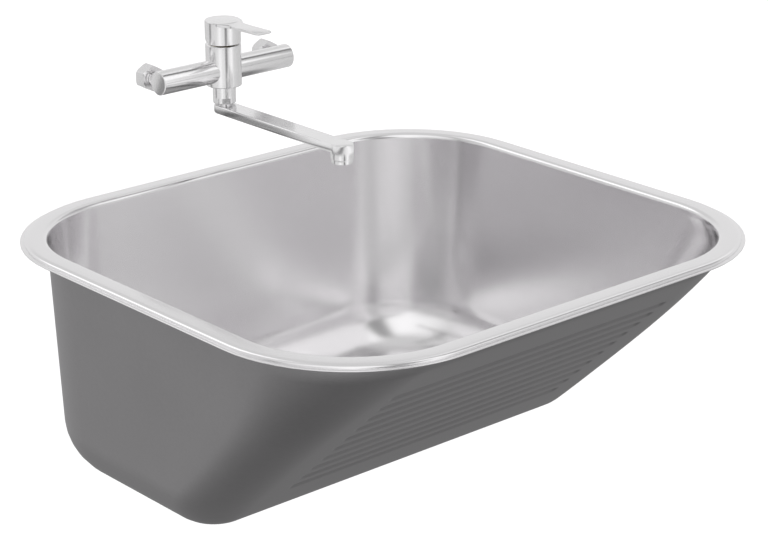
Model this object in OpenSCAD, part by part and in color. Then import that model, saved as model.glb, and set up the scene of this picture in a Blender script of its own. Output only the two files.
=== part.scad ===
// Stainless steel mop service sink with a pressed washboard, and its wall-mounted mixer tap.
// Millimetres. X runs along the sink, +Y points to the wall, +Z is up.
// The origin is the middle of the rim, on the worktop.

/* [Rim] */
// Length of the rim, left to right
rim_l = 600; // [540:5:720]
// Width of the rim, front to wall
rim_w = 560; // [520:5:640]
// Radius of the rim's corners in plan
rim_r = 144; // [130:1:170]
// Height of the raised band above the worktop
rim_h = 5.2; // [4:0.1:8]
// Width of the lip that lies on the worktop
lip_w = 4; // [2:0.5:8]
// Thickness of the folded lip
lip_t = 1.5; // [1.2:0.1:2.4]
// Width of the rounded shoulder between lip and band
shoulder_w = 5.3; // [3:0.1:7]
// Distance from the rim's edge to the outside of the bowl's wall
wall_inset = 26; // [24:0.5:34]
// Radius of the roll from the band down into the wall
roll_r = 4.5; // [3:0.5:6]

/* [Bowl] */
// Thickness of the pressed sheet
sheet_t = 0.8; // [0.6:0.1:1.2]
// Depth from the worktop to the underside of the floor
bowl_depth = 240; // [210:5:280]
// Draft of the side and back walls, in degrees
draft = 2.7; // [1:0.1:4]
// Radius of the fillet round the floor
floor_r = 57; // [45:1:60]
// Corner radius at the back, where the floor's fillet starts
back_corner_r = 107; // [80:1:125]
// Corner radius at the front, where the floor's fillet starts
front_corner_r = 60; // [60:1:110]
// Angle of the washboard below the horizontal, in degrees
slope_angle = 43.5; // [40:0.5:50]
// Radius of the knee between the front wall and the washboard
knee_r = 25; // [15:1:35]
// Height of upright wall above the knee
knee_drop = 4; // [2:1:12]

/* [Washboard] */
// Number of ribs
rib_n = 10; // [6:1:11]
// Distance from rib to rib down the slope
rib_pitch = 21.6; // [16:0.1:23]
// Length of each rib
rib_l = 350; // [250:5:370]
// Width of each rib
rib_w = 8; // [6:0.5:12]
// Height of each rib
rib_h = 2.5; // [1.5:0.1:3.5]

/* [Rim seal] */
// Width of the foam strip under the band
seal_w = 10; // [6:0.5:11]

/* [Waste] */
// Distance from the rim's centre to the waste, toward the wall
waste_y = 97; // [80:1:120]
// Diameter of the recess pressed into the floor
recess_d = 115; // [112:1:120]
// Depth of the recess
recess_h = 5; // [4:0.5:8]
// Hole in the floor
waste_hole_d = 90; // [89:0.5:92]
// Outer diameter of the strainer flange
flange_d = 108; // [100:1:110]
// Outer diameter of the flange's cup
cup_d = 80; // [76:1:83]
// Depth of the flange's cup below its rim
cup_h = 19.5; // [17:0.5:24]
// Thickness of the flange's sheet
flange_t = 1; // [0.8:0.1:1.2]
// Thickness of the seal between flange and recess
top_seal_t = 1.5; // [1:0.1:2.5]
// Thickness of the gasket between floor and waste body
gasket_t = 3; // [2:0.5:4]
// Outer diameter of the waste body's bowl
body_d = 89; // [87:0.5:96]
// Wall of the waste body
body_wall = 2; // [1.5:0.1:2.5]
// Height of the waste body's bowl
body_h = 25.5; // [24:0.5:34]
// Outer diameter of the outlet's thread
outlet_d = 47.8; // [40:0.1:50]
// Length of the outlet
outlet_l = 14; // [12:1:40]
// Diameter of the clamping screw
screw_d = 6; // [5:0.5:8]
// Outer diameter of the lift-out basket
basket_d = 68; // [60:1:70]
// Height of the basket
basket_h = 14; // [10:0.5:15]
// Diameter of the basket's knob
knob_d = 18; // [12:1:24]

/* [Tap body] */
// Distance from the rim's centre to the tap's axis
tap_y = 247; // [235:1:300]
// Height of the inlet bar above the worktop
bar_z = 116; // [100:1:200]
// Diameter of the inlet bar
bar_d = 24.5; // [24:0.5:30]
// Length of the inlet bar
bar_l = 167; // [165:1:190]
// Distance between the two inlets
inlet_pitch = 150; // [135:1:155]
// Diameter of the upright barrel
barrel_d = 37; // [36:0.5:45]
// Height of the barrel above the bar's axis
barrel_up = 27.5; // [27:0.5:34]
// Length of the barrel below the bar's axis
barrel_down = 16; // [15:0.5:22]

/* [Inlets] */
// Thread radius of the union nuts, at the crests
nut_thread_r = 9.3; // [9.1:0.1:9.6]
// Width of the union nuts across their flats
nut_flats = 24; // [23.5:0.5:30]
// Length of the union nuts
nut_l = 14; // [12:0.5:20]
// Distance from the bar's axis to the near face of the nuts
nut_gap = 19; // [18:0.5:30]
// Thickness of the inlet washers
washer_t = 2; // [1.5:0.1:3]

/* [Cartridge] */
// Diameter of the ceramic cartridge
cartridge_d = 25; // [24:0.1:26]
// Diameter of the cartridge's neck
neck_d = 19.2; // [18.8:0.1:20]
// Diameter of the rotor that the lever turns
rotor_d = 16; // [15:0.1:16.4]
// Thickness of each ceramic disc
disc_t = 2; // [1.6:0.1:2.2]
// Length of the stem below its pin
stem_arm = 9; // [8:0.1:9.4]
// Diameter of the pin that the stem tilts on
pin_d = 2.4; // [2:0.1:3]
// Width of the stem's square head
stem_head = 8; // [7:0.1:9]

/* [Lever] */
// Height of the cap
cap_h = 23.5; // [22:0.5:30]
// Gap between the cap and the barrel
cap_gap = 1.5; // [1.2:0.1:2.5]
// Wall of the cap
cap_wall = 1.8; // [1.4:0.1:2.2]
// Reach of the lever from the tap's axis
lever_reach = 70; // [50:1:100]
// Thickness of the lever
lever_t = 3.6; // [3:0.1:5]
// Thickness of the lever at its tip
lever_tip_t = 1.8; // [1.2:0.1:3]
// Width of the lever's neck, next to the cap
lever_w = 18; // [15:0.5:26]
// Width of the lever at its tip
lever_tip_w = 20; // [14:0.5:26]
// Drop from the cap's top to the lever's top
lever_drop = 0.8; // [0:0.1:5]
// Angle that the lever lifts through, in degrees
lift_angle = 22; // [16:1:22]

/* [Spout] */
// Reach of the spout from the tap's axis to its outlet
spout_reach = 187; // [120:1:300]
// Width of the spout
spout_w = 22; // [20:0.5:28]
// Height of the spout's section
spout_h = 9; // [7.5:0.5:14]
// Radius of the spout's long edges
spout_edge_r = 3.2; // [0.5:0.1:3.7]
// Diameter of the swivel nut
swivel_nut_d = 24; // [23.5:0.5:28]
// Width across the flats at the foot of the swivel nut
swivel_flats = 22; // [21.5:0.1:24]
// Height of these flats
swivel_flats_h = 6.5; // [4:0.5:10]
// Height of the swivel nut
swivel_nut_h = 19; // [17:0.5:24]
// Diameter of the spigot that the spout turns on
spigot_d = 14.1; // [13:0.1:15]
// Distance from the arm's top to the outlet's lower edge
outlet_drop = 19.5; // [16:0.5:30]
// Diameter of the outlet
spout_outlet_d = 22.5; // [22:0.5:26]

/* [Quality] */
// Points along each corner of the bowl
corner_n = 10; // [6:1:14]
// Facets of the round features
$fn = 72; // [48:12:120]

/* [Hidden] */

eps = 0.01;         // overlap that keeps cuts clean
seat_gap = 0.3;     // gap where a moving piece rests on another
run_gap = 0.05;     // radial play of a running fit
fit_gap = 0.1;      // radial play between pieces that are clamped together

steel = "silver";
chrome = "gainsboro";
rubber = "dimgray";
plastic = "darkslategray";

// ---- levels of the pressed sheet ----
edge_r = 0.5;                                    // rounding of the folded lip
band_in = wall_inset - roll_r;                   // where the flat band ends
band_out = lip_w + shoulder_w;                   // where the flat band starts
wall_top = rim_h - sheet_t - roll_r;             // where the roll meets the wall
fillet_z = floor_r - bowl_depth;                 // height of the floor fillet's centre
knee_z = wall_top - knee_drop;                   // height of the knee's centre
floor_z = sheet_t - bowl_depth;                  // top of the floor
wall_steps = 5;
fillet_steps = 6;
knee_steps = 4;
roll_steps = 4;

// ---- the pressed sheet in section, at a depth t below its outer face ----
side_centre_x = rim_l / 2 - wall_inset - (wall_top - fillet_z) * tan(draft) - floor_r / cos(draft);
knee_y = knee_r - (rim_w / 2 - wall_inset);

function arc_x(r, dz) = sqrt(max(r * r - dz * dz, 0));

// Half the bowl's length at height z
function side_x(z, t) =
    z > fillet_z - (floor_r - t) * sin(draft)
        ? rim_l / 2 - wall_inset - (wall_top - z) * tan(draft) - t / cos(draft)
        : side_centre_x + arc_x(floor_r - t, z - fillet_z);

// Washboard line: it starts at the knee and ends at the floor fillet
function knee_end(t) = [
    knee_y - (knee_r - t) * sin(slope_angle),
    knee_z - (knee_r - t) * cos(slope_angle)];
function toe_z(t) = fillet_z - (floor_r - t) * cos(slope_angle);
function toe_y(t) = knee_end(t)[0] + (knee_end(t)[1] - toe_z(t)) / tan(slope_angle);
front_centre_y = toe_y(0) + floor_r * sin(slope_angle);

// Front edge of the bowl at height z
function front_y(z, t) =
    z > knee_z ? t - (rim_w / 2 - wall_inset)
    : z > knee_end(t)[1] ? knee_y - arc_x(knee_r - t, z - knee_z)
    : z > toe_z(t) ? knee_end(t)[0] + (knee_end(t)[1] - z) / tan(slope_angle)
    : front_centre_y - arc_x(floor_r - t, z - fillet_z);

// Corner radius at height z, running from the rim's to its own above the floor fillet
function corner_r(z, t, low_r) =
    z > fillet_z
        ? low_r - t + (rim_r - wall_inset - low_r) * (z - fillet_z) / (wall_top - fillet_z)
        : low_r - t - (side_x(fillet_z, t) - side_x(z, t));

// ---- outlines, anticlockwise from above ----
function corner(cx, cy, r, z, start) = [
    for (i = [0:corner_n])
        let (a = start + 90 * i / corner_n)
        [cx + r * cos(a), cy + r * sin(a), z]];

function outline(hx, y_back, y_front, r_back, r_front, z) = concat(
    corner(hx - r_back, y_back - r_back, r_back, z, 0),
    corner(r_back - hx, y_back - r_back, r_back, z, 90),
    corner(r_front - hx, y_front + r_front, r_front, z, 180),
    corner(hx - r_front, y_front + r_front, r_front, z, 270));

function bowl_level(z, t) = outline(
    side_x(z, t), side_x(z, t) + (rim_w - rim_l) / 2, front_y(z, t),
    corner_r(z, t, back_corner_r), corner_r(z, t, front_corner_r), z);

function rim_level(inset, z) = outline(
    rim_l / 2 - inset, rim_w / 2 - inset, inset - rim_w / 2, rim_r - inset, rim_r - inset, z);

// Heights of the bowl's levels, from the floor to the top of the wall
function bowl_heights(t) = concat(
    [for (i = [0:fillet_steps]) fillet_z - (floor_r - t) * cos(90 * i / fillet_steps)],
    [for (i = [1:wall_steps]) fillet_z + (knee_end(t)[1] - fillet_z) * i / wall_steps],
    [for (i = [1:knee_steps]) knee_z - (knee_r - t) * cos(slope_angle + (90 - slope_angle) * i / knee_steps)],
    [wall_top]);

// Underside of the rim, from the wall out to the lip's edge
function rim_under() = concat(
    [for (i = [1:roll_steps]) let (a = 90 * i / roll_steps)
        rim_level(band_in + roll_r * cos(a), wall_top + roll_r * sin(a))],
    [for (i = [roll_steps:-1:0]) let (a = 90 * i / roll_steps)
        rim_level(band_out - (shoulder_w - sheet_t) * cos(a), (rim_h - sheet_t) * sin(a))],
    [rim_level(edge_r, 0), rim_level(0, edge_r)]);

// Top of the rim, from the lip's edge back to the wall
function rim_top() = concat(
    [rim_level(0, lip_t - edge_r), rim_level(edge_r, lip_t)],
    [for (i = [0:roll_steps]) let (a = 90 * i / roll_steps)
        rim_level(band_out - shoulder_w * cos(a), lip_t + (rim_h - lip_t) * sin(a))],
    [for (i = [roll_steps:-1:1]) let (a = 90 * i / roll_steps)
        rim_level(band_in + (roll_r + sheet_t) * cos(a), wall_top + (roll_r + sheet_t) * sin(a))]);

function reversed(list) = [for (i = [len(list) - 1:-1:0]) list[i]];

// A closed solid through a stack of outlines with equal numbers of points
module skin(levels) {
    n = len(levels[0]);
    last = len(levels) - 1;
    walls = [
        for (k = [0:last - 1])
            for (i = [0:n - 1])
                let (a = k * n + i, b = k * n + (i + 1) % n)
                each [[a, b, a + n], [b, b + n, a + n]]];
    floors = [[for (i = [n - 1:-1:0]) i], [for (i = [0:n - 1]) last * n + i]];
    polyhedron([for (level = levels) each level], [for (f = concat(walls, floors)) reversed(f)]);
}

// ---- shared shapes ----
module at_waste(z = 0) {
    translate([0, waste_y, z]) children();
}

module at_tap(z = 0) {
    translate([0, tap_y, z]) children();
}

// A ring or pipe that stands on z = 0
module tube(outer_d, inner_d, h) {
    difference() {
        cylinder(h = h, d = outer_d);
        translate([0, 0, -eps]) cylinder(h = h + 2 * eps, d = inner_d);
    }
}

// A round bar on z = 0 with a small chamfer at both ends
module chamfered_rod(d, h, c) {
    rotate_extrude()
        polygon([[0, 0], [d / 2 - c, 0], [d / 2, c], [d / 2, h - c], [d / 2 - c, h], [0, h]]);
}

// Diameter over the corners of a hexagon, from its width across the flats
function hexagon_d(flats) = flats / cos(30);

// A rectangle with round corners, from circles and squares
module round_rect(l, w, r) {
    square([l - 2 * r, w], center = true);
    square([l, w - 2 * r], center = true);
    for (sx = [-1, 1], sy = [-1, 1])
        translate([sx * (l / 2 - r), sy * (w / 2 - r)]) circle(r, $fn = 120);
}

// ---- sink ----

recess_taper = 2;                                // how far the recess narrows on its way down

// Frame on the outside of the washboard: X along the ribs, Y down the slope, Z into the bowl
module on_washboard() {
    translate([0, knee_end(0)[0], knee_end(0)[1]]) rotate([-slope_angle, 0, 0]) children();
}

washboard_l = (knee_end(0)[1] - toe_z(0)) / sin(slope_angle);
groove_r = (rib_w * rib_w / 4 + rib_h * rib_h) / (2 * rib_h);   // radius of the tool that presses a rib
groove_out = groove_r - rib_h;                                  // distance of its axis outside the sheet

// The round-ended rods that press the ribs, at the tool's radius or a sheet thickness more
module rib_rods(r) {
    for (i = [0:rib_n - 1])
        translate([0, washboard_l / 2 + (i - (rib_n - 1) / 2) * rib_pitch, -groove_out]) {
            rotate([0, 90, 0]) cylinder(h = rib_l - rib_w, r = r, center = true);
            for (s = [-1, 1]) translate([s * (rib_l - rib_w) / 2, 0, 0]) sphere(r);
        }
}

// Plug that fills the recess, down from the floor's top
module recess_plug(wall) {
    r_top = recess_d / 2 + wall;
    r_low = r_top - recess_taper;
    top = 1 - wall;
    rotate_extrude() polygon([
        [0, -recess_h - wall], [r_low, -recess_h - wall],
        [r_top, -wall], [r_top, top], [0, top]]);
}

module sink_bowl() color(steel) {
    difference() {
        union() {
            skin(concat(
                [for (z = bowl_heights(0)) bowl_level(z, 0)],
                rim_under(),
                rim_top(),
                reversed([for (z = bowl_heights(sheet_t)) bowl_level(z, sheet_t)])));
            on_washboard() intersection() {
                rib_rods(groove_r + sheet_t);
                translate([-rib_l, 0, sheet_t / 2]) cube([2 * rib_l, washboard_l, rib_w]);
            }
            at_waste(floor_z) intersection() {
                recess_plug(sheet_t);
                translate([0, 0, -sheet_t / 2 - recess_h * 2])
                    cylinder(h = recess_h * 2, d = recess_d + 4 * sheet_t);
            }
        }
        on_washboard() rib_rods(groove_r);
        at_waste(floor_z) recess_plug(0);
        at_waste(-bowl_depth - recess_h - 1) cylinder(h = recess_h + 2, d = waste_hole_d);
    }
}

// Foam strip in the hollow under the raised band
module rim_seal() color(rubber) {
    mid = (band_in + band_out) / 2;
    linear_extrude(rim_h - sheet_t) difference() {
        round_rect(rim_l - 2 * mid + seal_w, rim_w - 2 * mid + seal_w, rim_r - mid + seal_w / 2);
        round_rect(rim_l - 2 * mid - seal_w, rim_w - 2 * mid - seal_w, rim_r - mid - seal_w / 2);
    }
}

// ---- waste ----
seat_z = floor_z - recess_h;                     // top of the recess
flange_z = seat_z + top_seal_t;                  // underside of the flange's rim
cup_z = flange_z - cup_h;                        // underside of the flange's cup
gasket_z = seat_z - sheet_t - gasket_t;          // underside of the gasket
body_z = gasket_z - body_h;                      // underside of the waste body's bowl
ring_in_d = waste_hole_d + 1;                    // inside of the seals, clear of the hole
cup_r = 3;                                       // chamfer round the cup's floor
drain_hole_d = 8;
drain_holes = 12;
body_flange_t = 3;
body_r = 6;                                      // chamfer round the body's floor
body_rib_t = 3;
outlet_wall = 3.4;
hub_d = 14;
hub_socket_h = 4;
screw_head_d = 12;
screw_head_h = 1.9;
slot_w = 1.4;
cup_floor_z = cup_z + flange_t;
basket_t = 0.8;
basket_lip = 3;                                  // width of the basket's rim
basket_hole_d = 4;
basket_rod_d = 6;
knob_h = 4;
basket_seal_t = 2;
basket_z = cup_floor_z + seat_gap + basket_seal_t;   // underside of the basket's floor

module waste_flange() color(steel) at_waste() {
    r_out = cup_d / 2;
    r_in = r_out - flange_t;
    rim_z = flange_z + flange_t;
    difference() {
        rotate_extrude() polygon([
            [0, cup_z], [r_out - cup_r, cup_z], [r_out, cup_z + cup_r], [r_out, flange_z],
            [flange_d / 2, flange_z], [flange_d / 2, rim_z], [r_in, rim_z],
            [r_in, cup_z + cup_r + flange_t / 2], [r_out - cup_r - flange_t / 2, cup_floor_z],
            [0, cup_floor_z]]);
        translate([0, 0, cup_z - 1]) cylinder(h = flange_t + 2, d = screw_d + 2 * fit_gap);
        for (i = [1:drain_holes])
            rotate(360 * i / drain_holes) translate([cup_d / 4, 0, cup_z - 1])
                cylinder(h = flange_t + 2, d = drain_hole_d, $fn = 36);
    }
}

module waste_top_seal() color(rubber) {
    at_waste(seat_z) tube(flange_d - 2, ring_in_d, top_seal_t);
}

module waste_gasket() color(rubber) {
    at_waste(gasket_z) tube(flange_d - 2, ring_in_d, gasket_t);
}

module waste_body() color("whitesmoke") at_waste() {
    r_in = body_d / 2 - body_wall;
    outlet_in = outlet_d / 2 - outlet_wall;
    outlet_end = body_z - outlet_l;
    ledge_z = gasket_z - body_flange_t;
    hub_h = cup_z - body_z;
    difference() {
        union() {
            rotate_extrude() polygon([
                [outlet_in, outlet_end], [outlet_d / 2, outlet_end], [outlet_d / 2, body_z],
                [body_d / 2 - body_r, body_z], [body_d / 2, body_z + body_r],
                [body_d / 2, ledge_z], [flange_d / 2, ledge_z],
                [flange_d / 2, gasket_z], [r_in, gasket_z],
                [r_in, body_z + body_r + body_wall / 2], [r_in - body_r + 1, body_z + body_wall + 1],
                [outlet_in, body_z + body_wall]]);
            translate([0, 0, body_z]) cylinder(h = hub_h, d = hub_d);
            for (a = [0:120:240])
                rotate(a) translate([0, -body_rib_t / 2, body_z])
                    cube([r_in - 3, body_rib_t, hub_h - 2]);
        }
        translate([0, 0, body_z - 1]) cylinder(h = hub_h + 2, d = screw_d + 2 * run_gap);
        translate([0, 0, body_z - 1]) cylinder(h = hub_socket_h + 1, d = hub_d - 5);
    }
}

module waste_screw() color(steel) at_waste() {
    translate([0, 0, body_z + 2]) cylinder(h = cup_floor_z - body_z - 2 + eps, d = screw_d);
    difference() {
        translate([0, 0, cup_floor_z]) chamfered_rod(screw_head_d, screw_head_h, 0.4);
        translate([-5, -slot_w / 2, cup_floor_z + screw_head_h - 1]) cube([10, slot_w, 2]);
    }
}

module strainer_basket() color(steel) at_waste() {
    r = basket_d / 2;
    top = basket_z + basket_h;
    difference() {
        rotate_extrude() polygon([
            [0, basket_z], [r - 2, basket_z], [r, basket_z + 2],
            [r + 1, top - basket_t], [r + basket_lip, top - basket_t],
            [r + basket_lip, top], [r + 1 - basket_t, top],
            [r - basket_t, basket_z + 2.3], [r - 2.3, basket_z + basket_t],
            [0, basket_z + basket_t]]);
        for (ring = [1:3])
            for (i = [0:6 * ring - 1])
                rotate(60 * i / ring) translate([r * (0.2 + 0.2 * ring), 0, basket_z - 1])
                    cylinder(h = basket_t + 2, d = basket_hole_d, $fn = 24);
    }
    translate([0, 0, basket_z]) cylinder(h = basket_h, d = basket_rod_d);
    translate([0, 0, top]) chamfered_rod(knob_d, knob_h, 1.2);
}

module basket_seal() color(rubber) {
    at_waste(basket_z - basket_seal_t) tube(basket_d - 4, basket_d - 13, basket_seal_t);
}

// ---- tap: levels and axes ----
barrel_top = bar_z + barrel_up;
barrel_bottom = bar_z - barrel_down;
channel_d = 7;
channel_z = bar_z - bar_d / 2 + 2 + channel_d / 2;          // hot and cold channels, low in the bar
channel_y = 3;
port_x = 5.5;
port_d = 4;
cavity_z = channel_z + channel_d / 2 + 0.8;                 // floor of the cartridge's bore
cavity_d = cartridge_d + 2 * fit_gap;
clamp_z = barrel_top - 8;                                   // ledge under the cartridge nut
clamp_d = 31;
seal_t = 0.5;
housing_z = cavity_z + seal_t;
base_t = 2;
fixed_disc_z = housing_z + base_t;
moving_disc_z = fixed_disc_z + disc_t + run_gap;
carrier_z = moving_disc_z + disc_t;
carrier_h = 4.6;
rotor_z = carrier_z + carrier_h + 0.2;
rotor_flange_h = 3.2;
rotor_top = barrel_top + 1.6;
neck_z = rotor_z + rotor_flange_h + seat_gap;               // shoulder inside the housing
housing_bore_d = cartridge_d - 2.4;
ball_r = 2.2;
ball_z = carrier_z + 0.3 + ball_r;
pivot_z = ball_z + stem_arm * cos(lift_angle / 2);
stem_lean = lift_angle / 2;                                 // closed, the stem leans to the front
disc_offset = stem_arm * sin(stem_lean);                    // closed, the discs stand this far back
stem_t = 5;
head_z = (rotor_top + seat_gap - pivot_z + stem_head / 2 * sin(stem_lean)) / cos(stem_lean);
head_l = 11.5;                                              // length of the square head, up from head_z
socket_l = head_l + 1.3;
socket_w = stem_head + 2 * run_gap;
cap_z = barrel_top + cap_gap;
cap_top = cap_z + cap_h;
cap_d = barrel_d;

boss_d = 19.6;
boss_l = 12;
spigot_top = barrel_bottom + 3;
spigot_bore_d = spigot_d + 2 * run_gap;
nut_bottom = barrel_bottom - swivel_nut_h;
nut_lip_t = 2;
nut_hole_d = spigot_d + 1.2;
friction_t = 1.2;
collar_d = 18;
collar_z = nut_bottom + nut_lip_t + friction_t + seat_gap;
collar_top = barrel_bottom - boss_l - seat_gap;
arm_top = nut_bottom - 2;
arm_z = arm_top - spout_h;
outlet_y = tap_y - spout_reach;
outlet_z = arm_top - outlet_drop;

tail_d = 13;
tail_collar_d = 2 * nut_thread_r - 2 * fit_gap;
tail_collar_t = 2.5;
nut_back_t = 3;
saddle_w = 1.3;                      // width of the ring where a tail leaves the bar
saddle_h = 3;
tail_l = nut_gap + nut_back_t + tail_collar_t;

// Frame of the stem: its pin is the origin, and Z runs up the stem
module on_stem() {
    at_tap(pivot_z) rotate([stem_lean, 0, 0]) children();
}

// Frame at each inlet: Z points to the wall, and z = 0 is the bar's axis
module at_inlets() {
    for (s = [-1, 1])
        translate([s * inlet_pitch / 2, tap_y, bar_z]) rotate([-90, 0, 0]) children();
}

// ---- tap body ----
module tap_body() color(chrome) {
    difference() {
        union() {
            at_tap(barrel_bottom) chamfered_rod(barrel_d, barrel_top - barrel_bottom, 0.5);
            at_tap(barrel_bottom - boss_l) cylinder(h = boss_l + 1, d = boss_d);
            at_tap(bar_z) rotate([0, 90, 0]) translate([0, 0, -bar_l / 2]) chamfered_rod(bar_d, bar_l, 0.6);
            at_inlets() {
                cylinder(h = tail_l, d = tail_d);
                translate([0, 0, tail_l - tail_collar_t]) cylinder(h = tail_collar_t, d = tail_collar_d);
                cylinder(h = bar_d / 2 + saddle_h, d = tail_d + 2 * saddle_w);
            }
        }
        at_tap(cavity_z) cylinder(h = barrel_top - cavity_z + 1, d = cavity_d);
        at_tap(clamp_z) cylinder(h = barrel_top - clamp_z + 1, d = clamp_d);
        at_tap(barrel_bottom - boss_l - 1) cylinder(h = boss_l + 5, d = spigot_bore_d);
        waterways();
    }
}

// Two channels from the inlets to the cartridge, and one from the cartridge to the spout
module waterways() {
    at_inlets() cylinder(h = tail_l + 1, d = tail_d - 4);
    for (s = [-1, 1]) {
        translate([s * inlet_pitch / 2, tap_y, channel_z]) cylinder(h = bar_z - channel_z, d = channel_d - 1);
        translate([s * port_x, tap_y + channel_y, channel_z]) {
            rotate([0, s * 90, 0]) cylinder(h = inlet_pitch / 2 - port_x, d = channel_d);
            cylinder(h = cavity_z - channel_z + 1, d = port_d);
        }
    }
    translate([0, tap_y - port_x, barrel_bottom + 2]) cylinder(h = cavity_z - barrel_bottom - 1, d = port_d);
}

module union_nuts() color(chrome) at_inlets() {
    translate([0, 0, nut_gap]) difference() {
        intersection() {
            rotate(30) cylinder(h = nut_l, d = hexagon_d(nut_flats), $fn = 6);
            chamfered_rod(hexagon_d(nut_flats) + 0.6, nut_l, 1.4);
        }
        translate([0, 0, -1]) cylinder(h = nut_l + 2, d = tail_d + 4 * fit_gap);
        translate([0, 0, nut_back_t]) cylinder(h = tail_collar_t + washer_t, r = nut_thread_r + 0.7);
        translate([0, 0, nut_back_t]) cylinder(h = nut_l, r = nut_thread_r);
    }
}

module inlet_washers() color(rubber) at_inlets() {
    translate([0, 0, tail_l]) tube(tail_collar_d, tail_d - 2, washer_t);
}

// ---- cartridge ----
module ports(h) {
    for (s = [-1, 1])
        translate([s * port_x, channel_y, -1]) cylinder(h = h + 2, d = port_d);
    translate([0, -port_x, -1]) cylinder(h = h + 2, d = port_d);
}

module cartridge_housing() color("ivory") at_tap() {
    difference() {
        union() {
            translate([0, 0, housing_z]) cylinder(h = clamp_z - housing_z, d = cartridge_d);
            translate([0, 0, clamp_z - 1]) cylinder(h = rotor_top - 0.4 - clamp_z + 1, d = neck_d);
        }
        translate([0, 0, fixed_disc_z]) cylinder(h = neck_z - fixed_disc_z, d = housing_bore_d);
        translate([0, 0, neck_z - 1]) cylinder(h = rotor_top - neck_z + 2, d = rotor_d + 2 * run_gap);
        translate([0, 0, housing_z]) ports(base_t);
    }
}

module cartridge_seals() color(rubber) at_tap(cavity_z) {
    for (s = [-1, 1])
        translate([s * port_x, channel_y, 0]) tube(port_d + 2.4, port_d, seal_t);
    translate([0, -port_x, 0]) tube(port_d + 2.4, port_d, seal_t);
}

module cartridge_nut() color("goldenrod") at_tap(clamp_z) {
    h = barrel_top - clamp_z - 0.1;
    difference() {
        cylinder(h = h, d = clamp_d - 2 * fit_gap);
        translate([0, 0, -1]) cylinder(h = h + 2, d = neck_d + 4 * fit_gap);
        for (a = [0:90:270])
            rotate(a) translate([clamp_d / 2 - 2.5, -1.5, h - 2]) cube([4, 3, 3]);
    }
}

module fixed_disc() color("white") at_tap(fixed_disc_z) {
    difference() {
        cylinder(h = disc_t, d = housing_bore_d - 2 * fit_gap);
        ports(disc_t);
    }
}

module moving_disc() color("white") at_tap(moving_disc_z) {
    translate([0, disc_offset, 0]) difference() {
        cylinder(h = disc_t, d = 15);
        translate([0, -2, -1]) cylinder(h = disc_t / 2 + 1, d = 8);
    }
}

module disc_carrier() color("ivory") at_tap(carrier_z) {
    socket = 2 * ball_r + seat_gap;
    translate([0, disc_offset, 0]) difference() {
        cylinder(h = carrier_h, d = 16);
        translate([-socket / 2, -socket / 2, 0.15]) cube([socket, socket, carrier_h]);
    }
}

module rotor() color("ivory") at_tap() {
    slot_l = 11.4;
    slot_t = stem_t + seat_gap;
    difference() {
        union() {
            translate([0, 0, rotor_z]) cylinder(h = rotor_flange_h, d = housing_bore_d - 1);
            translate([0, 0, rotor_z]) cylinder(h = rotor_top - rotor_z, d = rotor_d);
        }
        translate([-slot_t / 2, -slot_l / 2, rotor_z - 1]) cube([slot_t, slot_l, rotor_top - rotor_z + 2]);
        translate([0, 0, pivot_z]) rotate([0, 90, 0]) cylinder(h = rotor_d + 2, d = pin_d, center = true);
    }
}

module pivot_pin() color(steel) at_tap(pivot_z) {
    rotate([0, 90, 0]) cylinder(h = rotor_d - 0.4, d = pin_d, center = true);
}

module stem() color("goldenrod") on_stem() {
    difference() {
        union() {
            translate([0, 0, -stem_arm]) sphere(ball_r);
            translate([0, 0, -stem_arm]) cylinder(h = stem_arm, d = 3);
            translate([-stem_t / 2, -2.4, -4]) cube([stem_t, 4.8, head_z + 5]);
            translate([-stem_head / 2, -stem_head / 2, head_z]) cube([stem_head, stem_head, head_l]);
        }
        rotate([0, 90, 0]) cylinder(h = stem_t + 2, d = pin_d + 2 * run_gap, center = true);
    }
}

// ---- lever ----
relief_angle = lift_angle + 2;       // the back of the cap's skirt is cut away, so that it clears the barrel
lever_start = 9;                     // where the lever leaves the cap, in front of the axis
lever_neck = 26;                     // where the lever is narrowest
lever_flat = lever_neck + 6;         // where the lever's top has dropped all the way
cap_edge = 1;                        // chamfer round the cap
blend_steps = 8;
tip_steps = 8;
tip_l = 5;
grub_d = 5;
hex_key_d = 2.9;
screw_l = 4;
screw_h = head_z + 7;                // height of the grub screw on the stem

function ease(t) = t * t * (3 - 2 * t);

// Half the lever's width, the height of its top and its thickness, at a distance y in front of the axis
shoulder_x = sqrt(cap_d * cap_d / 4 - lever_start * lever_start) - 0.2;
function half_width(y) =
    shoulder_x + (lever_w / 2 - shoulder_x) * ease((y - lever_start) / (lever_neck - lever_start));
function thickness(y) =
    lever_t + (lever_tip_t - lever_t) * max(y - lever_start, 0) / (lever_reach - lever_start);
function top_z(y) = -lever_drop * ease(min(max((y - lever_start) / (lever_flat - lever_start), 0), 1));

// One edge of the lever in plan, from inside the cap to the middle of the tip
lever_side = concat(
    [[shoulder_x - 2, 4 - lever_start]],
    [for (i = [0:blend_steps])
        let (y = lever_start + (lever_neck - lever_start) * i / blend_steps)
        [half_width(y), -y]],
    [for (i = [0:tip_steps]) let (a = 90 * i / tip_steps)
        [lever_tip_w / 2 - 4 * (1 - cos(a)), tip_l * (1 - sin(a)) - lever_reach]]);

// Frame of the grub screw at a distance from the stem's head: Z points out of the cap's back
module at_grub_screw(out) {
    on_stem() translate([0, stem_head / 2 + out, screw_h]) rotate([-90, 0, 0]) children();
}

module lever_plan() {
    polygon(concat(lever_side, reversed([for (p = lever_side) [-p[0], p[1]]])));
}

lever_top = concat(
    [[0, 0]],
    [for (i = [0:2 * blend_steps])
        let (y = lever_start + (lever_flat - lever_start) * i / (2 * blend_steps))
        [-y, top_z(y)]],
    [[-lever_reach - 1, -lever_drop]]);

module lever_profile() {
    polygon(concat(lever_top, reversed([for (p = lever_top) [p[0], p[1] - thickness(-p[0])]])));
}

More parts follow.
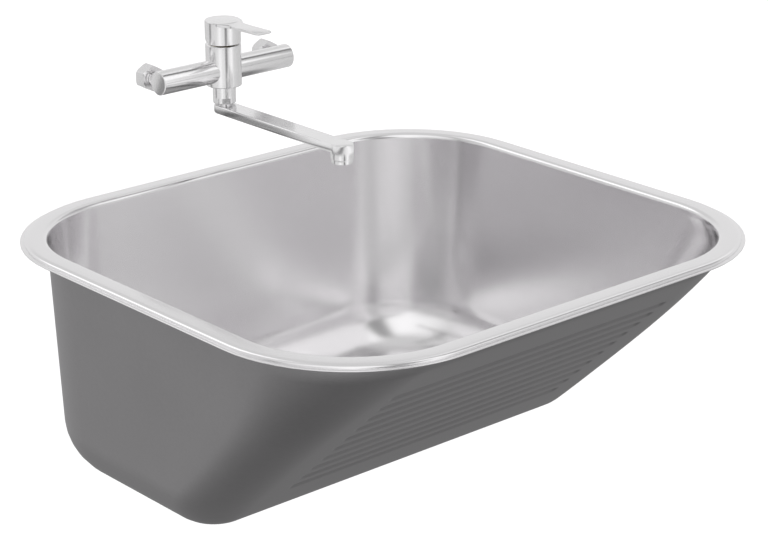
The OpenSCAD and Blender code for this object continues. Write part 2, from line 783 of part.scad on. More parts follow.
module lever_plate() {
    intersection() {
        translate([0, 0, -cap_h]) linear_extrude(cap_h + 1) lever_plan();
        rotate([90, 0, 90]) translate([0, 0, -cap_d]) linear_extrude(2 * cap_d) lever_profile();
    }
}

module lever_handle() color(chrome) {
    difference() {
        union() {
            difference() {
                at_tap(cap_z) chamfered_rod(cap_d, cap_h, cap_edge);
                at_tap(cap_z - 1) cylinder(h = cap_h + 1 - lever_t, d = cap_d - 2 * cap_wall);
            }
            at_tap(cap_top) lever_plate();
            intersection() {
                on_stem() translate([0, 1, head_z + 1.2]) cylinder(h = cap_h, d = 15);
                at_tap(cap_z) cylinder(h = cap_h - 1, d = cap_d - cap_wall);
            }
        }
        at_tap(cap_z) rotate([relief_angle, 0, 0]) translate([-cap_d, 0, -cap_d])
            cube([2 * cap_d, cap_d, cap_d]);
        on_stem() translate([-socket_w / 2, -socket_w / 2, head_z - 1])
            cube([socket_w, socket_w, socket_l]);
        at_grub_screw(-1) cylinder(h = screw_l + 3, d = grub_d);
        at_grub_screw(screw_l) cylinder(h = cap_d / 2, d = grub_d + 4 * fit_gap);
    }
}

module handle_screw() color(plastic) at_grub_screw(run_gap) {
    difference() {
        cylinder(h = screw_l, d = grub_d - 2 * run_gap);
        translate([0, 0, screw_l - 2]) cylinder(h = 3, d = hex_key_d, $fn = 6);
    }
}

// ---- spout ----

// Half of the spout's section, from its axis outward, with rounded long edges
spout_half = concat(
    [[0, 0]],
    [for (i = [0:4]) let (a = 270 + 90 * i / 4)
        [spout_w / 2 - spout_edge_r + spout_edge_r * cos(a), spout_edge_r + spout_edge_r * sin(a)]],
    [for (i = [0:4]) let (a = 90 * i / 4)
        [spout_w / 2 - spout_edge_r + spout_edge_r * cos(a), spout_h - spout_edge_r + spout_edge_r * sin(a)]],
    [[0, spout_h]]);

module at_outlet(z) {
    translate([0, outlet_y, z]) children();
}

module spout_arm() {
    translate([0, tap_y, arm_z]) rotate([90, 0, 0]) linear_extrude(spout_reach) {
        polygon(spout_half);
        mirror([1, 0]) polygon(spout_half);
    }
    translate([0, tap_y, arm_z]) rotate_extrude(angle = 180) polygon(spout_half);
    at_outlet(arm_z) rotate(180) rotate_extrude(angle = 180) polygon(spout_half);
}

spigot_wall = 3;
arm_wall = 1.7;
passage_w = 12;
passage_z = arm_z + arm_wall;
passage_h = spout_h - 2 * arm_wall;  // height of the water's way inside the arm
bore_d = 14;                         // way down to the aerator
housing_h = 4.5;
housing_d = spout_outlet_d - 1.6;
outlet_edge = 0.8;                   // chamfer round the outlet
insert_d = spout_outlet_d - 3.6;
outlet_bore_z = arm_z + 1;
aerator_washer_t = 1;

module spout() color(chrome) {
    difference() {
        union() {
            spout_arm();
            at_tap(arm_top - 1) cylinder(h = collar_z - arm_top + 2, d = nut_hole_d - 2 * seat_gap);
            at_tap(collar_z) cylinder(h = collar_top - collar_z, d = collar_d);
            at_tap(collar_z) cylinder(h = spigot_top - collar_z, d = spigot_d);
            at_outlet(outlet_z + housing_h)
                chamfered_rod(spout_outlet_d, arm_top - outlet_z - housing_h, outlet_edge);
        }
        for (k = [0, 1])
            at_tap(groove_z(k)) tube(spigot_d + 2, o_ring_in_d, o_ring_t);
        at_tap(passage_z) cylinder(h = spigot_top, d = spigot_d - 2 * spigot_wall);
        translate([-passage_w / 2, outlet_y, passage_z]) cube([passage_w, spout_reach, passage_h]);
        at_outlet(outlet_z) cylinder(h = outlet_bore_z - outlet_z, d = insert_d + 2 * fit_gap);
        at_outlet(outlet_z) cylinder(h = passage_z + passage_h - outlet_z, d = bore_d);
    }
}

o_ring_t = 2;
o_ring_in_d = spigot_d - 3;
function groove_z(k) = barrel_bottom - boss_l + 2.5 + 5 * k;

module spout_o_rings() color(rubber) {
    for (k = [0, 1])
        at_tap(groove_z(k)) tube(spigot_d, o_ring_in_d, o_ring_t);
}

// Round nut with a low hexagon at its foot, for the spanner
module swivel_nut() color(chrome) at_tap(nut_bottom) {
    difference() {
        intersection() {
            chamfered_rod(swivel_nut_d, swivel_nut_h, 0.8);
            union() {
                rotate(30) cylinder(h = swivel_nut_h, d = hexagon_d(swivel_flats), $fn = 6);
                translate([0, 0, swivel_flats_h]) cylinder(h = swivel_nut_h, d = swivel_nut_d + 1);
            }
        }
        translate([0, 0, -1]) cylinder(h = swivel_nut_h, d = nut_hole_d);
        translate([0, 0, nut_lip_t]) cylinder(h = swivel_nut_h, d = boss_d + 2 * fit_gap);
    }
}

module friction_ring() color("ivory") {
    at_tap(nut_bottom + nut_lip_t) tube(collar_d, nut_hole_d, friction_t);
}

module aerator_washer() color(rubber) {
    at_outlet(outlet_bore_z - aerator_washer_t) tube(insert_d, bore_d, aerator_washer_t);
}

insert_z = outlet_z + 1.5;
mesh_pitch = 3;
mesh_hole = 2.2;

module aerator_insert() color("lightgray") {
    at_outlet(insert_z) difference() {
        cylinder(h = outlet_bore_z - aerator_washer_t - insert_z, d = insert_d);
        for (x = [-2:2], y = [-2:2])
            if (norm([x, y]) < 2.5)
                translate([x * mesh_pitch, y * mesh_pitch, 0])
                    cube([mesh_hole, mesh_hole, 3], center = true);
    }
}

module aerator_housing() color(chrome) {
    at_outlet(outlet_z) difference() {
        chamfered_rod(housing_d, housing_h, outlet_edge);
        translate([0, 0, -1]) cylinder(h = housing_h + 2, d = insert_d - 2);
        translate([0, 0, insert_z - outlet_z]) cylinder(h = housing_h, d = insert_d + 2 * fit_gap);
    }
}

sink_bowl();
rim_seal();
waste_flange();
waste_top_seal();
waste_gasket();
waste_body();
waste_screw();
strainer_basket();
basket_seal();
tap_body();
union_nuts();
inlet_washers();
cartridge_housing();
cartridge_nut();
cartridge_seals();
fixed_disc();
moving_disc();
disc_carrier();
rotor();
pivot_pin();
stem();
lever_handle();
handle_screw();
swivel_nut();
friction_ring();
spout();
spout_o_rings();
aerator_washer();
aerator_insert();
aerator_housing();
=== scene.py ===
from math import asin, atan2, cos, pi, radians, sin, sqrt, tan

import bmesh
import bpy
from mathutils import Matrix, Vector


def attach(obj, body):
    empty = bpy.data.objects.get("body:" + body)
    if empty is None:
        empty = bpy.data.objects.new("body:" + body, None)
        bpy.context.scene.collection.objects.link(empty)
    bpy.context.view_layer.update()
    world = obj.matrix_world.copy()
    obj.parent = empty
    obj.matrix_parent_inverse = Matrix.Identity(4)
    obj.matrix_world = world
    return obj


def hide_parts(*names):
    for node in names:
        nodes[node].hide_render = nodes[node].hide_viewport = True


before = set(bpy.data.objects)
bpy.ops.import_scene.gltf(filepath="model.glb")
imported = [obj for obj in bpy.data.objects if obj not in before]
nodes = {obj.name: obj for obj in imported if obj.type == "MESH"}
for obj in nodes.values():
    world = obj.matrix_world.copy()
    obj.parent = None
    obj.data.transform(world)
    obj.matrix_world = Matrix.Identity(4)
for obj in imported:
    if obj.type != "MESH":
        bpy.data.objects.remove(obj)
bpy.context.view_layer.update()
mm = 0.001

# ---- Camera ----
# The photograph's own view, from the front left and above the rim. It is a long lens without shift,
# whose angles and distance were fitted to the rim and the bowl's outline.
view_turn = radians(-41.376)
view_rise = radians(20.106)
view_roll = radians(-0.139)
view_target = Vector((-0.0672, -0.0779, 0))
view_distance = 2.1665
view_lens, film_width = 109.23, 36

toward_camera = Vector((
    sin(view_turn) * cos(view_rise),
    -cos(view_turn) * cos(view_rise),
    sin(view_rise)))
across = Vector((0, 0, 1)).cross(toward_camera).normalized()
camera_up = toward_camera.cross(across)
lens = bpy.data.cameras.new("lens")
lens.lens = view_lens
lens.sensor_width = film_width
camera = bpy.data.objects.new("camera", lens)
bpy.context.collection.objects.link(camera)
right = across * cos(view_roll) + camera_up * sin(view_roll)
up = camera_up * cos(view_roll) - across * sin(view_roll)
camera.matrix_world = Matrix.Translation(view_target + toward_camera * view_distance) @ Matrix(
    (right, up, toward_camera)).transposed().to_4x4()
bpy.context.scene.camera = camera


# ---- Floor and light ----
# A pale studio floor, as far below the rim as a real sink is above the ground, and a soft tent that
# is bright all round with a few darker gaps. It falls off below the worktop, where the outside of
# the bowl mirrors the unlit ground, and the camera sees plain white behind the object.
class Value:
    """A shader socket that adds Math nodes when it is used in an expression."""

    def __init__(self, shader, socket):
        self.shader = shader
        self.socket = socket

    def math(self, kind, *others):
        return self.shader.node("Math", self, *others, settings={"operation": kind})

    def __add__(self, other):
        return self.math("ADD", other)

    def __sub__(self, other):
        return self.math("SUBTRACT", other)

    def __mul__(self, other):
        return self.math("MULTIPLY", other)

    def __rsub__(self, other):
        return (self * -1) + other

    __radd__ = __add__
    __rmul__ = __mul__


class Shader:
    """The nodes of one material or of the tent."""

    def __init__(self, owner):
        owner.use_nodes = True
        self.tree = owner.node_tree
        self.tree.nodes.clear()

    def node(self, kind, *items, output=0, settings=None, stops=None, **named):
        """Adds a node, sets it up, and gives its sockets their values or links."""
        made = self.tree.nodes.new("ShaderNode" + kind)
        for name, value in (settings or {}).items():
            setattr(made, name, value)
        for index, (place, shade) in enumerate(stops or []):
            elements = made.color_ramp.elements
            element = elements[index] if index < 2 else elements.new(place)
            element.position = place
            element.color = (shade, shade, shade, 1)
        by_name = {socket.identifier.replace(" ", "_"): socket for socket in made.inputs}
        sockets = list(zip(made.inputs, items))
        sockets += [(by_name[name], item) for name, item in named.items()]
        for socket, item in sockets:
            if isinstance(item, Value):
                self.tree.links.new(item.socket, socket)
            else:
                socket.default_value = item
        return Value(self, made.outputs[output])

    def finish(self, surface, kind="Material"):
        end = self.tree.nodes.new("ShaderNodeOutput" + kind)
        self.tree.links.new(surface.socket, end.inputs["Surface"])


bpy.context.scene.view_settings.view_transform = "Standard"
sky = bpy.data.worlds.new("tent")
bpy.context.scene.world = sky
tent = Shader(sky)
direction = tent.node("TexCoord", output="Generated")
x, y, z = [tent.node("SeparateXYZ", direction, output=i) for i in range(3)]
level_view = toward_camera.to_2d().normalized()


def turn_from_camera(x, y):
    """How far round a direction lies, as a share of a turn, with the camera's own side at half."""
    facing = x * level_view.x + y * level_view.y
    sideways = y * level_view.x - x * level_view.y
    return sideways.math("ARCTAN2", facing) * (0.5 / pi) + 0.5


turn = turn_from_camera(x, y)
low_ring = tent.node("ValToRGB", turn, stops=[
    (0.0, 0.86), (1.0, 0.86), (0.25, 0.78), (0.32, 0.70), (0.344, 0.22), (0.368, 0.70),
    (0.45, 0.80), (0.5, 1.20), (0.533, 0.85), (0.561, 0.20), (0.594, 0.25), (0.625, 0.85),
    (0.661, 1.25), (0.695, 0.85), (0.722, 0.60), (0.78, 0.70), (0.85, 0.84)])
high_ring = tent.node("ValToRGB", turn, stops=[
    (0.0, 0.72), (1.0, 0.72), (0.13, 0.72), (0.16, 1.4), (0.205, 1.4), (0.235, 0.76),
    (0.31, 0.72), (0.40, 1.0), (0.5, 1.15), (0.57, 1.15), (0.6, 0.35), (0.65, 0.35),
    (0.68, 1.15), (0.745, 1.15), (0.78, 0.45), (0.84, 0.45), (0.87, 1.1), (0.93, 0.8)])
climb = tent.node("ValToRGB", z, stops=[(0.36, 0.0), (0.48, 1.0)])
top = tent.node("ValToRGB", z, stops=[(0.86, 0.0), (0.96, 1.0)])
upper = (low_ring * (1 - climb) + high_ring * climb) * (1 - top) + top * 0.7
behind = y * 0.45 + x * 0.175 + 0.5
steep = (z * -1 - 0.4).math("MAXIMUM", 0.0)
ground = (behind * behind * 0.2 + 0.25) * (1 - steep * 0.8)
above = tent.node("ValToRGB", z + 0.5, stops=[(0.47, 0.0), (0.53, 1.0)])
light = tent.node("Background", upper * above + ground * (1 - above), 1.0)
backdrop = tent.node("Background", (1, 1, 1, 1), 1.0)
seen = tent.node("LightPath", output="Is Camera Ray")
tent.finish(tent.node("MixShader", seen, light, backdrop), "World")


def keep(name, mesh, material=None):
    """Turns a bmesh into an object of the scene."""
    data = bpy.data.meshes.new(name)
    mesh.to_mesh(data)
    mesh.free()
    if material:
        data.materials.append(material)
    piece = bpy.data.objects.new(name, data)
    bpy.context.collection.objects.link(piece)
    return piece


floor_height = -0.85
floor_reach = 12
pale = bpy.data.materials.new("pale_floor")
paint = Shader(pale)
paint.finish(paint.node(
    "BsdfPrincipled", Base_Color=(0.93, 0.93, 0.93, 1), Roughness=0.9,
    Emission_Color=(1, 1, 1, 1), Emission_Strength=0.35))
ground_sheet = bmesh.new()
bmesh.ops.create_grid(
    ground_sheet, x_segments=1, y_segments=1, size=floor_reach,
    matrix=Matrix.Translation((0, 0, floor_height)))
studio_floor = keep("studio_floor", ground_sheet, pale)
studio_floor.visible_glossy = False


# ---- Bowl ----
# One sheet of stainless steel, 0.8 mm thick, pressed into a bowl with a raised rim and a sloping
# washboard, with its edge folded under at the lip. The inside and the rim are satin polished, and
# the outside keeps the duller finish of the mill.
rim_l, rim_w, rim_r, rim_h = 600 * mm, 560 * mm, 144 * mm, 5.2 * mm
lip_w, lip_t, shoulder_w = 4 * mm, 1.5 * mm, 5.3 * mm
wall_inset, roll_r = 26 * mm, 4.5 * mm
sheet_t = 0.8 * mm
bowl_depth = 240 * mm
draft = radians(2.7)
floor_r = 57 * mm
back_corner_r, front_corner_r, front_fullness = 107 * mm, 60 * mm, 2.5
slope = radians(43.5)
knee_r, knee_drop = 25 * mm, 4 * mm
rib_count, rib_pitch, rib_l, rib_w, rib_h = 10, 21.6 * mm, 350 * mm, 8 * mm, 2.5 * mm
rib_foot = 2.5 * mm
waste_y, recess_d, recess_h, waste_hole_d = 97 * mm, 115 * mm, 5 * mm, 90 * mm
recess_margin = 2.4 * mm

band_in = wall_inset - roll_r
band_out = lip_w + shoulder_w
wall_top = rim_h - sheet_t - roll_r
fillet_z = floor_r - bowl_depth
knee_z = wall_top - knee_drop
knee_y = knee_r - (rim_w / 2 - wall_inset)
side_centre = rim_l / 2 - wall_inset - (wall_top - fillet_z) * tan(draft) - floor_r / cos(draft)


def arc(radius, offset):
    return sqrt(max(radius * radius - offset * offset, 0))


def side_x(z, t):
    """Half the bowl's length at height z, at a depth t below the sheet's outer face."""
    if z > fillet_z - (floor_r - t) * sin(draft):
        return rim_l / 2 - wall_inset - (wall_top - z) * tan(draft) - t / cos(draft)
    return side_centre + arc(floor_r - t, z - fillet_z)


def knee_end(t):
    return knee_y - (knee_r - t) * sin(slope), knee_z - (knee_r - t) * cos(slope)


def toe(t):
    """Where the washboard runs out into the floor's fillet."""
    z = fillet_z - (floor_r - t) * cos(slope)
    return knee_end(t)[0] + (knee_end(t)[1] - z) / tan(slope), z


front_centre = toe(0)[0] + floor_r * sin(slope)


def front_y(z, t):
    if z > knee_z:
        return t - (rim_w / 2 - wall_inset)
    if z > knee_end(t)[1]:
        return knee_y - arc(knee_r - t, z - knee_z)
    if z > toe(t)[1]:
        return knee_end(t)[0] + (knee_end(t)[1] - z) / tan(slope)
    return front_centre - arc(floor_r - t, z - fillet_z)


def corner_r(z, t, low, fullness):
    if z > fillet_z:
        rise = ((z - fillet_z) / (wall_top - fillet_z)) ** fullness
        return low - t + (rim_r - wall_inset - low) * rise
    return low - t - (side_x(fillet_z, t) - side_x(z, t))


rib_end_columns = [rib_l / 2 + (i - 10) * 1.3 * mm for i in range(15)]
middle_columns = [x * mm for x in range(-150, 151, 15)]
front_columns = [-x for x in reversed(rib_end_columns)] + middle_columns + rib_end_columns
corner_points, back_points, side_points = 14, 12, 8


def spread(start, end, count):
    """Points strictly between two ends."""
    return [start + (end - start) * (i + 1) / (count + 1) for i in range(count)]


def outline(hx, back, front, r_back, r_front, z):
    """A closed rounded outline, anticlockwise from the right-hand wall's back corner."""
    points = []
    for side in (1, -1):
        cx, cy = side * (hx - r_back), back - r_back
        for i in range(corner_points + 1):
            a = radians(90 * i / corner_points + (0 if side > 0 else 90))
            points.append((cx + r_back * cos(a), cy + r_back * sin(a), z))
        if side > 0:
            points += [(x, back, z) for x in spread(hx - r_back, r_back - hx, back_points)]
    cx, cy = hx - r_front, front + r_front
    points += [(-hx, y, z) for y in spread(back - r_back, cy, side_points)]
    reach = front_columns[-1]
    first = asin(max((reach - cx) / r_front, 0)) + 0.02
    corner = [first + (pi / 2 - first) * i / corner_points for i in range(corner_points + 1)]
    points += [(-cx - r_front * sin(a), cy - r_front * cos(a), z) for a in reversed(corner)]
    points += [(x, cy - arc(r_front, max(abs(x) - cx, 0)), z) for x in front_columns]
    points += [(cx + r_front * sin(a), cy - r_front * cos(a), z) for a in corner]
    points += [(hx, y, z) for y in spread(cy, back - r_back, side_points)]
    return points


def rib_lift(x, y, z, t):
    """How far the press lifts the washboard into the bowl at this point."""
    start_y, start_z = knee_end(t)
    down = (y - start_y) * cos(slope) - (z - start_z) * sin(slope)
    length = (toe(0)[0] - knee_end(0)[0]) / cos(slope)
    nearest = round((down - length / 2) / rib_pitch + (rib_count - 1) / 2)
    nearest = min(max(nearest, 0), rib_count - 1)
    off = down - length / 2 - (nearest - (rib_count - 1) / 2) * rib_pitch
    beyond = max(abs(x) - (rib_l - rib_w) / 2, 0)
    reach = sqrt(off * off + beyond * beyond)
    half = rib_w / 2 + rib_foot + t
    return rib_h * (0.5 + 0.5 * cos(pi * reach / half)) if reach < half else 0


def bowl_level(z, t):
    ring = outline(
        side_x(z, t), side_x(z, t) + (rim_w - rim_l) / 2, front_y(z, t),
        corner_r(z, t, back_corner_r, 1), corner_r(z, t, front_corner_r, front_fullness), z)
    if not toe(t)[1] < z < knee_end(t)[1]:
        return ring
    pressed = []
    for x, y, z in ring:
        lift = rib_lift(x, y, z, t) if y < front_y(z, t) + 1 * mm else 0
        pressed.append((x, y + lift * sin(slope), z + lift * cos(slope)))
    return pressed


def rim_level(inset, z):
    r = rim_r - inset
    return outline(rim_l / 2 - inset, rim_w / 2 - inset, inset - rim_w / 2, r, r, z)


rib_steps = (-9.4, -7.6, -6.4, -5.2, -4, -2.8, -1.6, -0.5, 0.5, 1.6, 2.8, 4, 5.2, 6.4, 7.6, 9.4)


def washboard_heights(t):
    """Levels down the washboard, close together across each rib."""
    start, end = knee_end(t)[1], toe(t)[1]
    length = (toe(0)[0] - knee_end(0)[0]) / cos(slope)
    stations = []
    for rib in range(rib_count):
        middle = length / 2 + (rib - (rib_count - 1) / 2) * rib_pitch
        stations += [middle + step * mm for step in rib_steps]
    first, last = stations[0], stations[-1]
    stations = [first * k / 3 for k in (1, 2)] + stations
    stations += [last + (length - last) * k / 3 for k in (1, 2)]
    return [start - (start - end) * s / length for s in reversed(stations)]


def bowl_heights(t):
    inner_r = floor_r - t
    low = [fillet_z - inner_r * cos(slope * i / 6) for i in range(7)]
    high = [knee_z - (knee_r - t) * cos(slope + (pi / 2 - slope) * i / 6) for i in range(7)]
    return low + washboard_heights(t) + high + [wall_top]


def rim_under():
    roll = [radians(90 * i / 6) for i in range(1, 7)]
    inner_r, low_top = shoulder_w - sheet_t, rim_h - sheet_t
    levels = [rim_level(band_in + roll_r * cos(a), wall_top + roll_r * sin(a)) for a in roll]
    levels += [rim_level(band_out - inner_r * cos(a), low_top * sin(a)) for a in reversed(roll)]
    return levels


def folded_lip():
    r = lip_t / 2
    fold = [radians(-80 + 20 * i) for i in range(9)]
    return [rim_level(lip_w, 0.02 * mm)] + [rim_level(r - r * cos(a), r + r * sin(a)) for a in fold]


def rim_top():
    r, rise = roll_r + sheet_t, rim_h - lip_t
    steps = [radians(90 * i / 8) for i in range(9)]
    levels = [rim_level(band_out - shoulder_w * cos(a), lip_t + rise * sin(a)) for a in steps]
    levels += [rim_level(band_in + r * cos(a), wall_top + r * sin(a)) for a in reversed(steps[1:])]
    return levels


def circle_level(ring, radius, z):
    """A circle round the waste, with each point in line with its own on the floor's outline."""
    turns = [atan2(y - waste_y, x) for x, y, _ in ring]
    return [(radius * cos(turn), waste_y + radius * sin(turn), z) for turn in turns]


def floor_levels(ring, z, radius):
    """From the floor's outline to a circle round the waste."""
    circle = circle_level(ring, radius, z)
    return [[Vector(p).lerp(Vector(q), k / 6) for p, q in zip(ring, circle)] for k in range(1, 7)]


def recess_levels(ring, t):
    """The dish round the waste, from its shoulder to the hole's edge."""
    top = t - bowl_depth
    low = top - recess_h
    r = recess_d / 2 + sheet_t - t
    shape = [
        (r + 1.2 * mm, top), (r + 0.3 * mm, top - 0.3 * mm), (r - 0.2 * mm, top - 1.2 * mm),
        (r - 1.5 * mm, low + 1.0 * mm), (r - 2.2 * mm, low + 0.3 * mm), (r - 3.2 * mm, low),
        (waste_hole_d / 2, low)]
    return [circle_level(ring, radius, z) for radius, z in shape]


def loft(mesh, outlines, closed=False, capped=False):
    """Extrudes a loop of edges from outline to outline. Closed joins the last to the first; capped
    fills both ends."""
    order = mesh.verts.layers.int.get("order") or mesh.verts.layers.int.new("order")
    loop = bmesh.ops.create_circle(mesh, segments=len(outlines[0]), radius=1)["verts"]
    for i, vertex in enumerate(loop):
        vertex[order] = i
        vertex.co = outlines[0][i]
    first = list(dict.fromkeys(edge for vertex in loop for edge in vertex.link_edges))
    last = first
    for ring in outlines[1:]:
        grown = bmesh.ops.extrude_edge_only(mesh, edges=last)["geom"]
        fresh = {item for item in grown if isinstance(item, bmesh.types.BMVert)}
        for vertex in fresh:
            vertex.co = ring[vertex[order]]
        edges = [item for item in grown if isinstance(item, bmesh.types.BMEdge)]
        last = [edge for edge in edges if set(edge.verts) <= fresh]
    if closed:
        bmesh.ops.bridge_loops(mesh, edges=first + last)
    if capped:
        for end in (first, last):
            bmesh.ops.contextual_create(mesh, geom=end)
    return mesh


def finished(name, mesh, body, material, replaced, angle=35):
    """Turns a bmesh into a smooth-shaded piece that rides on a body."""
    bmesh.ops.recalc_face_normals(mesh, faces=mesh.faces)
    piece = keep(name, mesh, material)
    for face in piece.data.polygons:
        face.use_smooth = True
    piece.data.set_sharp_from_angle(angle=radians(angle))
    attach(piece, body)
    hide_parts(*replaced)
    return piece


def brushed(name, tones, roughness, grain_scale, cloudiness, depth, metallic=1.0):
    """Brushed metal: a long fine grain, and faint clouds where the belt pressed harder."""
    finish = bpy.data.materials.new(name)
    metal = Shader(finish)
    place = metal.node("TexCoord", output="Object")
    along = metal.node("Mapping", Vector=place, Scale=grain_scale)
    grain = metal.node("TexNoise", output="Fac", Vector=along, Scale=4.0, Detail=3.0, Roughness=0.6)
    cloud = metal.node("TexNoise", output="Fac", Vector=place, Scale=7.0, Detail=3.0, Roughness=0.5)
    dark, light = tones
    tone = metal.node(
        "Mix", settings={"data_type": "RGBA"}, output=2, A_Color=(*dark, 1), B_Color=(*light, 1),
        Factor_Float=cloud * 0.7 + grain * 0.5 - 0.1)
    relief = metal.node("Bump", Height=grain, Strength=depth, Distance=0.4 * mm)
    metal.finish(metal.node(
        "BsdfPrincipled", Base_Color=tone, Metallic=metallic,
        Roughness=grain * 0.08 + cloud * cloudiness + roughness, Normal=relief))
    return finish


satin = brushed(
    "satin_stainless", ((0.808, 0.798, 0.808), (0.875, 0.866, 0.875)), 0.14, (14, 260, 900),
    cloudiness=0.04, depth=0.025)
mill = brushed(
    "mill_stainless", ((0.49, 0.48, 0.49), (0.61, 0.60, 0.61)), 0.34, (30, 60, 90),
    cloudiness=0.10, depth=0.08)

outer = [bowl_level(z, 0) for z in bowl_heights(0)]
inner = [bowl_level(z, sheet_t) for z in reversed(bowl_heights(sheet_t))]
recess_edge = recess_d / 2 + recess_margin
outer_floor = floor_levels(outer[0], -bowl_depth, recess_edge + sheet_t)
inner_floor = floor_levels(inner[-1], sheet_t - bowl_depth, recess_edge)
outside = recess_levels(outer[0], 0)[::-1] + outer_floor[::-1] + outer + rim_under()
inside = folded_lip() + rim_top() + inner + inner_floor + recess_levels(inner[-1], sheet_t)
sheet = loft(bmesh.new(), outside + inside, closed=True)
sheet.faces.index_update()
for face in sheet.faces:
    if face.index // len(outer[0]) < len(outside):
        face.material_index = 1
bowl = finished("pressed_bowl", sheet, "sink", satin, ["sink_bowl"], 30)
bowl.data.materials.append(mill)


# ---- Reflectors ----
# Cards for the picture that only mirrored light sees. One lies round the rim as a worktop would,
# one with darker strips lies under the tap, and both are clear from below. A dark flag hangs above
# the bar.
rim_card_z, tap_card_z = -3 * mm, 50 * mm
card_reach, card_corner, card_gap = 1.5, 0.3, 8 * mm
tap_foot, mouth_foot = (0, 247 * mm, 0), (0, 60 * mm, 0)
flag_l, flag_w, flag_tilt = 260 * mm, 17 * mm, radians(15)
flag_place = (65 * mm, 226 * mm, 185 * mm)


def mirrored_only(card):
    for kind in ("camera", "diffuse", "shadow", "transmission"):
        setattr(card, "visible_" + kind, False)


def reflector(name, mesh, light):
    """Adds a card that lights only what mirrors its upper side."""
    bmesh.ops.recalc_face_normals(mesh, faces=mesh.faces)
    if sum(face.normal.z for face in mesh.faces) < 0:
        bmesh.ops.reverse_faces(mesh, faces=mesh.faces)
    card = bpy.data.materials.new(name)
    paint = Shader(card)
    paint.finish(paint.node(
        "MixShader", paint.node("NewGeometry", output="Backfacing"),
        paint.node("Emission", light(paint), 1.0), paint.node("BsdfTransparent")))
    piece = keep(name, mesh, card)
    mirrored_only(piece)


def fan_about(paint, foot):
    """Light and dark strips that fan out from a foot on the card, and the distance from it."""
    place = paint.node("TexCoord", output="Object")
    moved = paint.node("Mapping", Vector=place, Location=tuple(-c for c in foot))
    x, y = [paint.node("SeparateXYZ", moved, output=i) for i in range(2)]
    fan = paint.node("ValToRGB", turn_from_camera(x, y), stops=[
        (0.0, 0.64), (1.0, 0.64), (0.243, 0.7), (0.260, 0.22), (0.279, 0.22), (0.300, 0.74),
        (0.40, 0.8), (0.455, 1.08), (0.50, 0.85), (0.535, 0.85), (0.548, 0.22), (0.572, 0.22),
        (0.592, 0.8), (0.65, 1.12), (0.70, 0.72), (0.80, 0.62)])
    return fan, (x * x + y * y).math("SQRT")


def strips(paint):
    fan, away = fan_about(paint, tap_foot)
    near = paint.node("ValToRGB", away * 4, stops=[(0.30, 0.32), (0.46, 1.0)])
    mouth_fan, mouth_away = fan_about(paint, mouth_foot)
    by_mouth = paint.node("ValToRGB", mouth_away * 8, stops=[(0.5, 1.0), (0.62, 0.0)])
    return fan * near * (1 - by_mouth) + mouth_fan * by_mouth


card = loft(bmesh.new(), [
    rim_level(-card_gap, rim_card_z),
    outline(card_reach, card_reach, -card_reach, card_corner, card_corner, rim_card_z)])
reflector("rim_card", card, lambda paint: (0.9, 0.9, 0.9, 1))
card = bmesh.new()
bmesh.ops.create_circle(
    card, cap_ends=True, segments=64, radius=card_reach,
    matrix=Matrix.Translation((*tap_foot[:2], tap_card_z)))
reflector("tap_card", card, strips)
flag = bmesh.new()
bmesh.ops.create_grid(flag, x_segments=1, y_segments=1, size=0.5)
bmesh.ops.scale(flag, verts=flag.verts, vec=(flag_l, flag_w, 1))
bmesh.ops.rotate(flag, verts=flag.verts, matrix=Matrix.Rotation(flag_tilt, 3, "X"))
bmesh.ops.translate(flag, verts=flag.verts, vec=flag_place)
black_card = bpy.data.materials.new("black_card")
paint = Shader(black_card)
paint.finish(paint.node("Emission", (0.16, 0.16, 0.16, 1), 1.0))
flag_card = keep("flag", flag, black_card)
mirrored_only(flag_card)


# ---- Rim seal ----
# A self-adhesive strip of closed-cell foam under the raised band. It is pressed down between the
# steel and the worktop, and keeps water out of the cut-out.
seal_w = 10 * mm


def speckled(name, tones, roughness, scale, depth, height=0.1 * mm):
    """Moulded or foamed stuff: a fine random surface and slightly uneven colour."""
    finish = bpy.data.materials.new(name)
    stuff = Shader(finish)
    place = stuff.node("TexCoord", output="Object")
    fine = stuff.node(
        "TexNoise", output="Fac", Vector=place, Scale=scale, Detail=4.0, Roughness=0.6)
    broad = stuff.node(
        "TexNoise", output="Fac", Vector=place, Scale=30.0, Detail=2.0, Roughness=0.5)
    dark, light = tones
    tone = stuff.node(
        "Mix", settings={"data_type": "RGBA"}, output=2, A_Color=(*dark, 1), B_Color=(*light, 1),
        Factor_Float=broad * 0.6 + fine * 0.4)
    relief = stuff.node("Bump", Height=fine, Strength=depth, Distance=height)
    stuff.finish(stuff.node(
        "BsdfPrincipled", Base_Color=tone, Roughness=fine * 0.12 + roughness, Normal=relief))
    return finish


foam = speckled(
    "closed_cell_foam", ((0.018, 0.018, 0.019), (0.05, 0.05, 0.052)), 0.75, 1800.0, 0.7, 0.3 * mm)

seal_middle, seal_top, seal_edge = (band_in + band_out) / 2, rim_h - sheet_t, 1 * mm
seal_rings = []
for side in (1, -1):
    for lift in (0, 1):
        for step in range(5):
            turn = pi / 2 * step / 4
            if side * (0.5 - lift) < 0:
                turn = pi / 2 - turn
            reach = side * (seal_w / 2 - seal_edge + seal_edge * sin(turn))
            height = seal_edge * (1 - cos(turn))
            seal_rings.append(rim_level(seal_middle - reach, abs(lift * seal_top - height)))
seal = loft(bmesh.new(), seal_rings, closed=True)
finished("foam_strip", seal, "sink", foam, ["rim_seal"], 50)


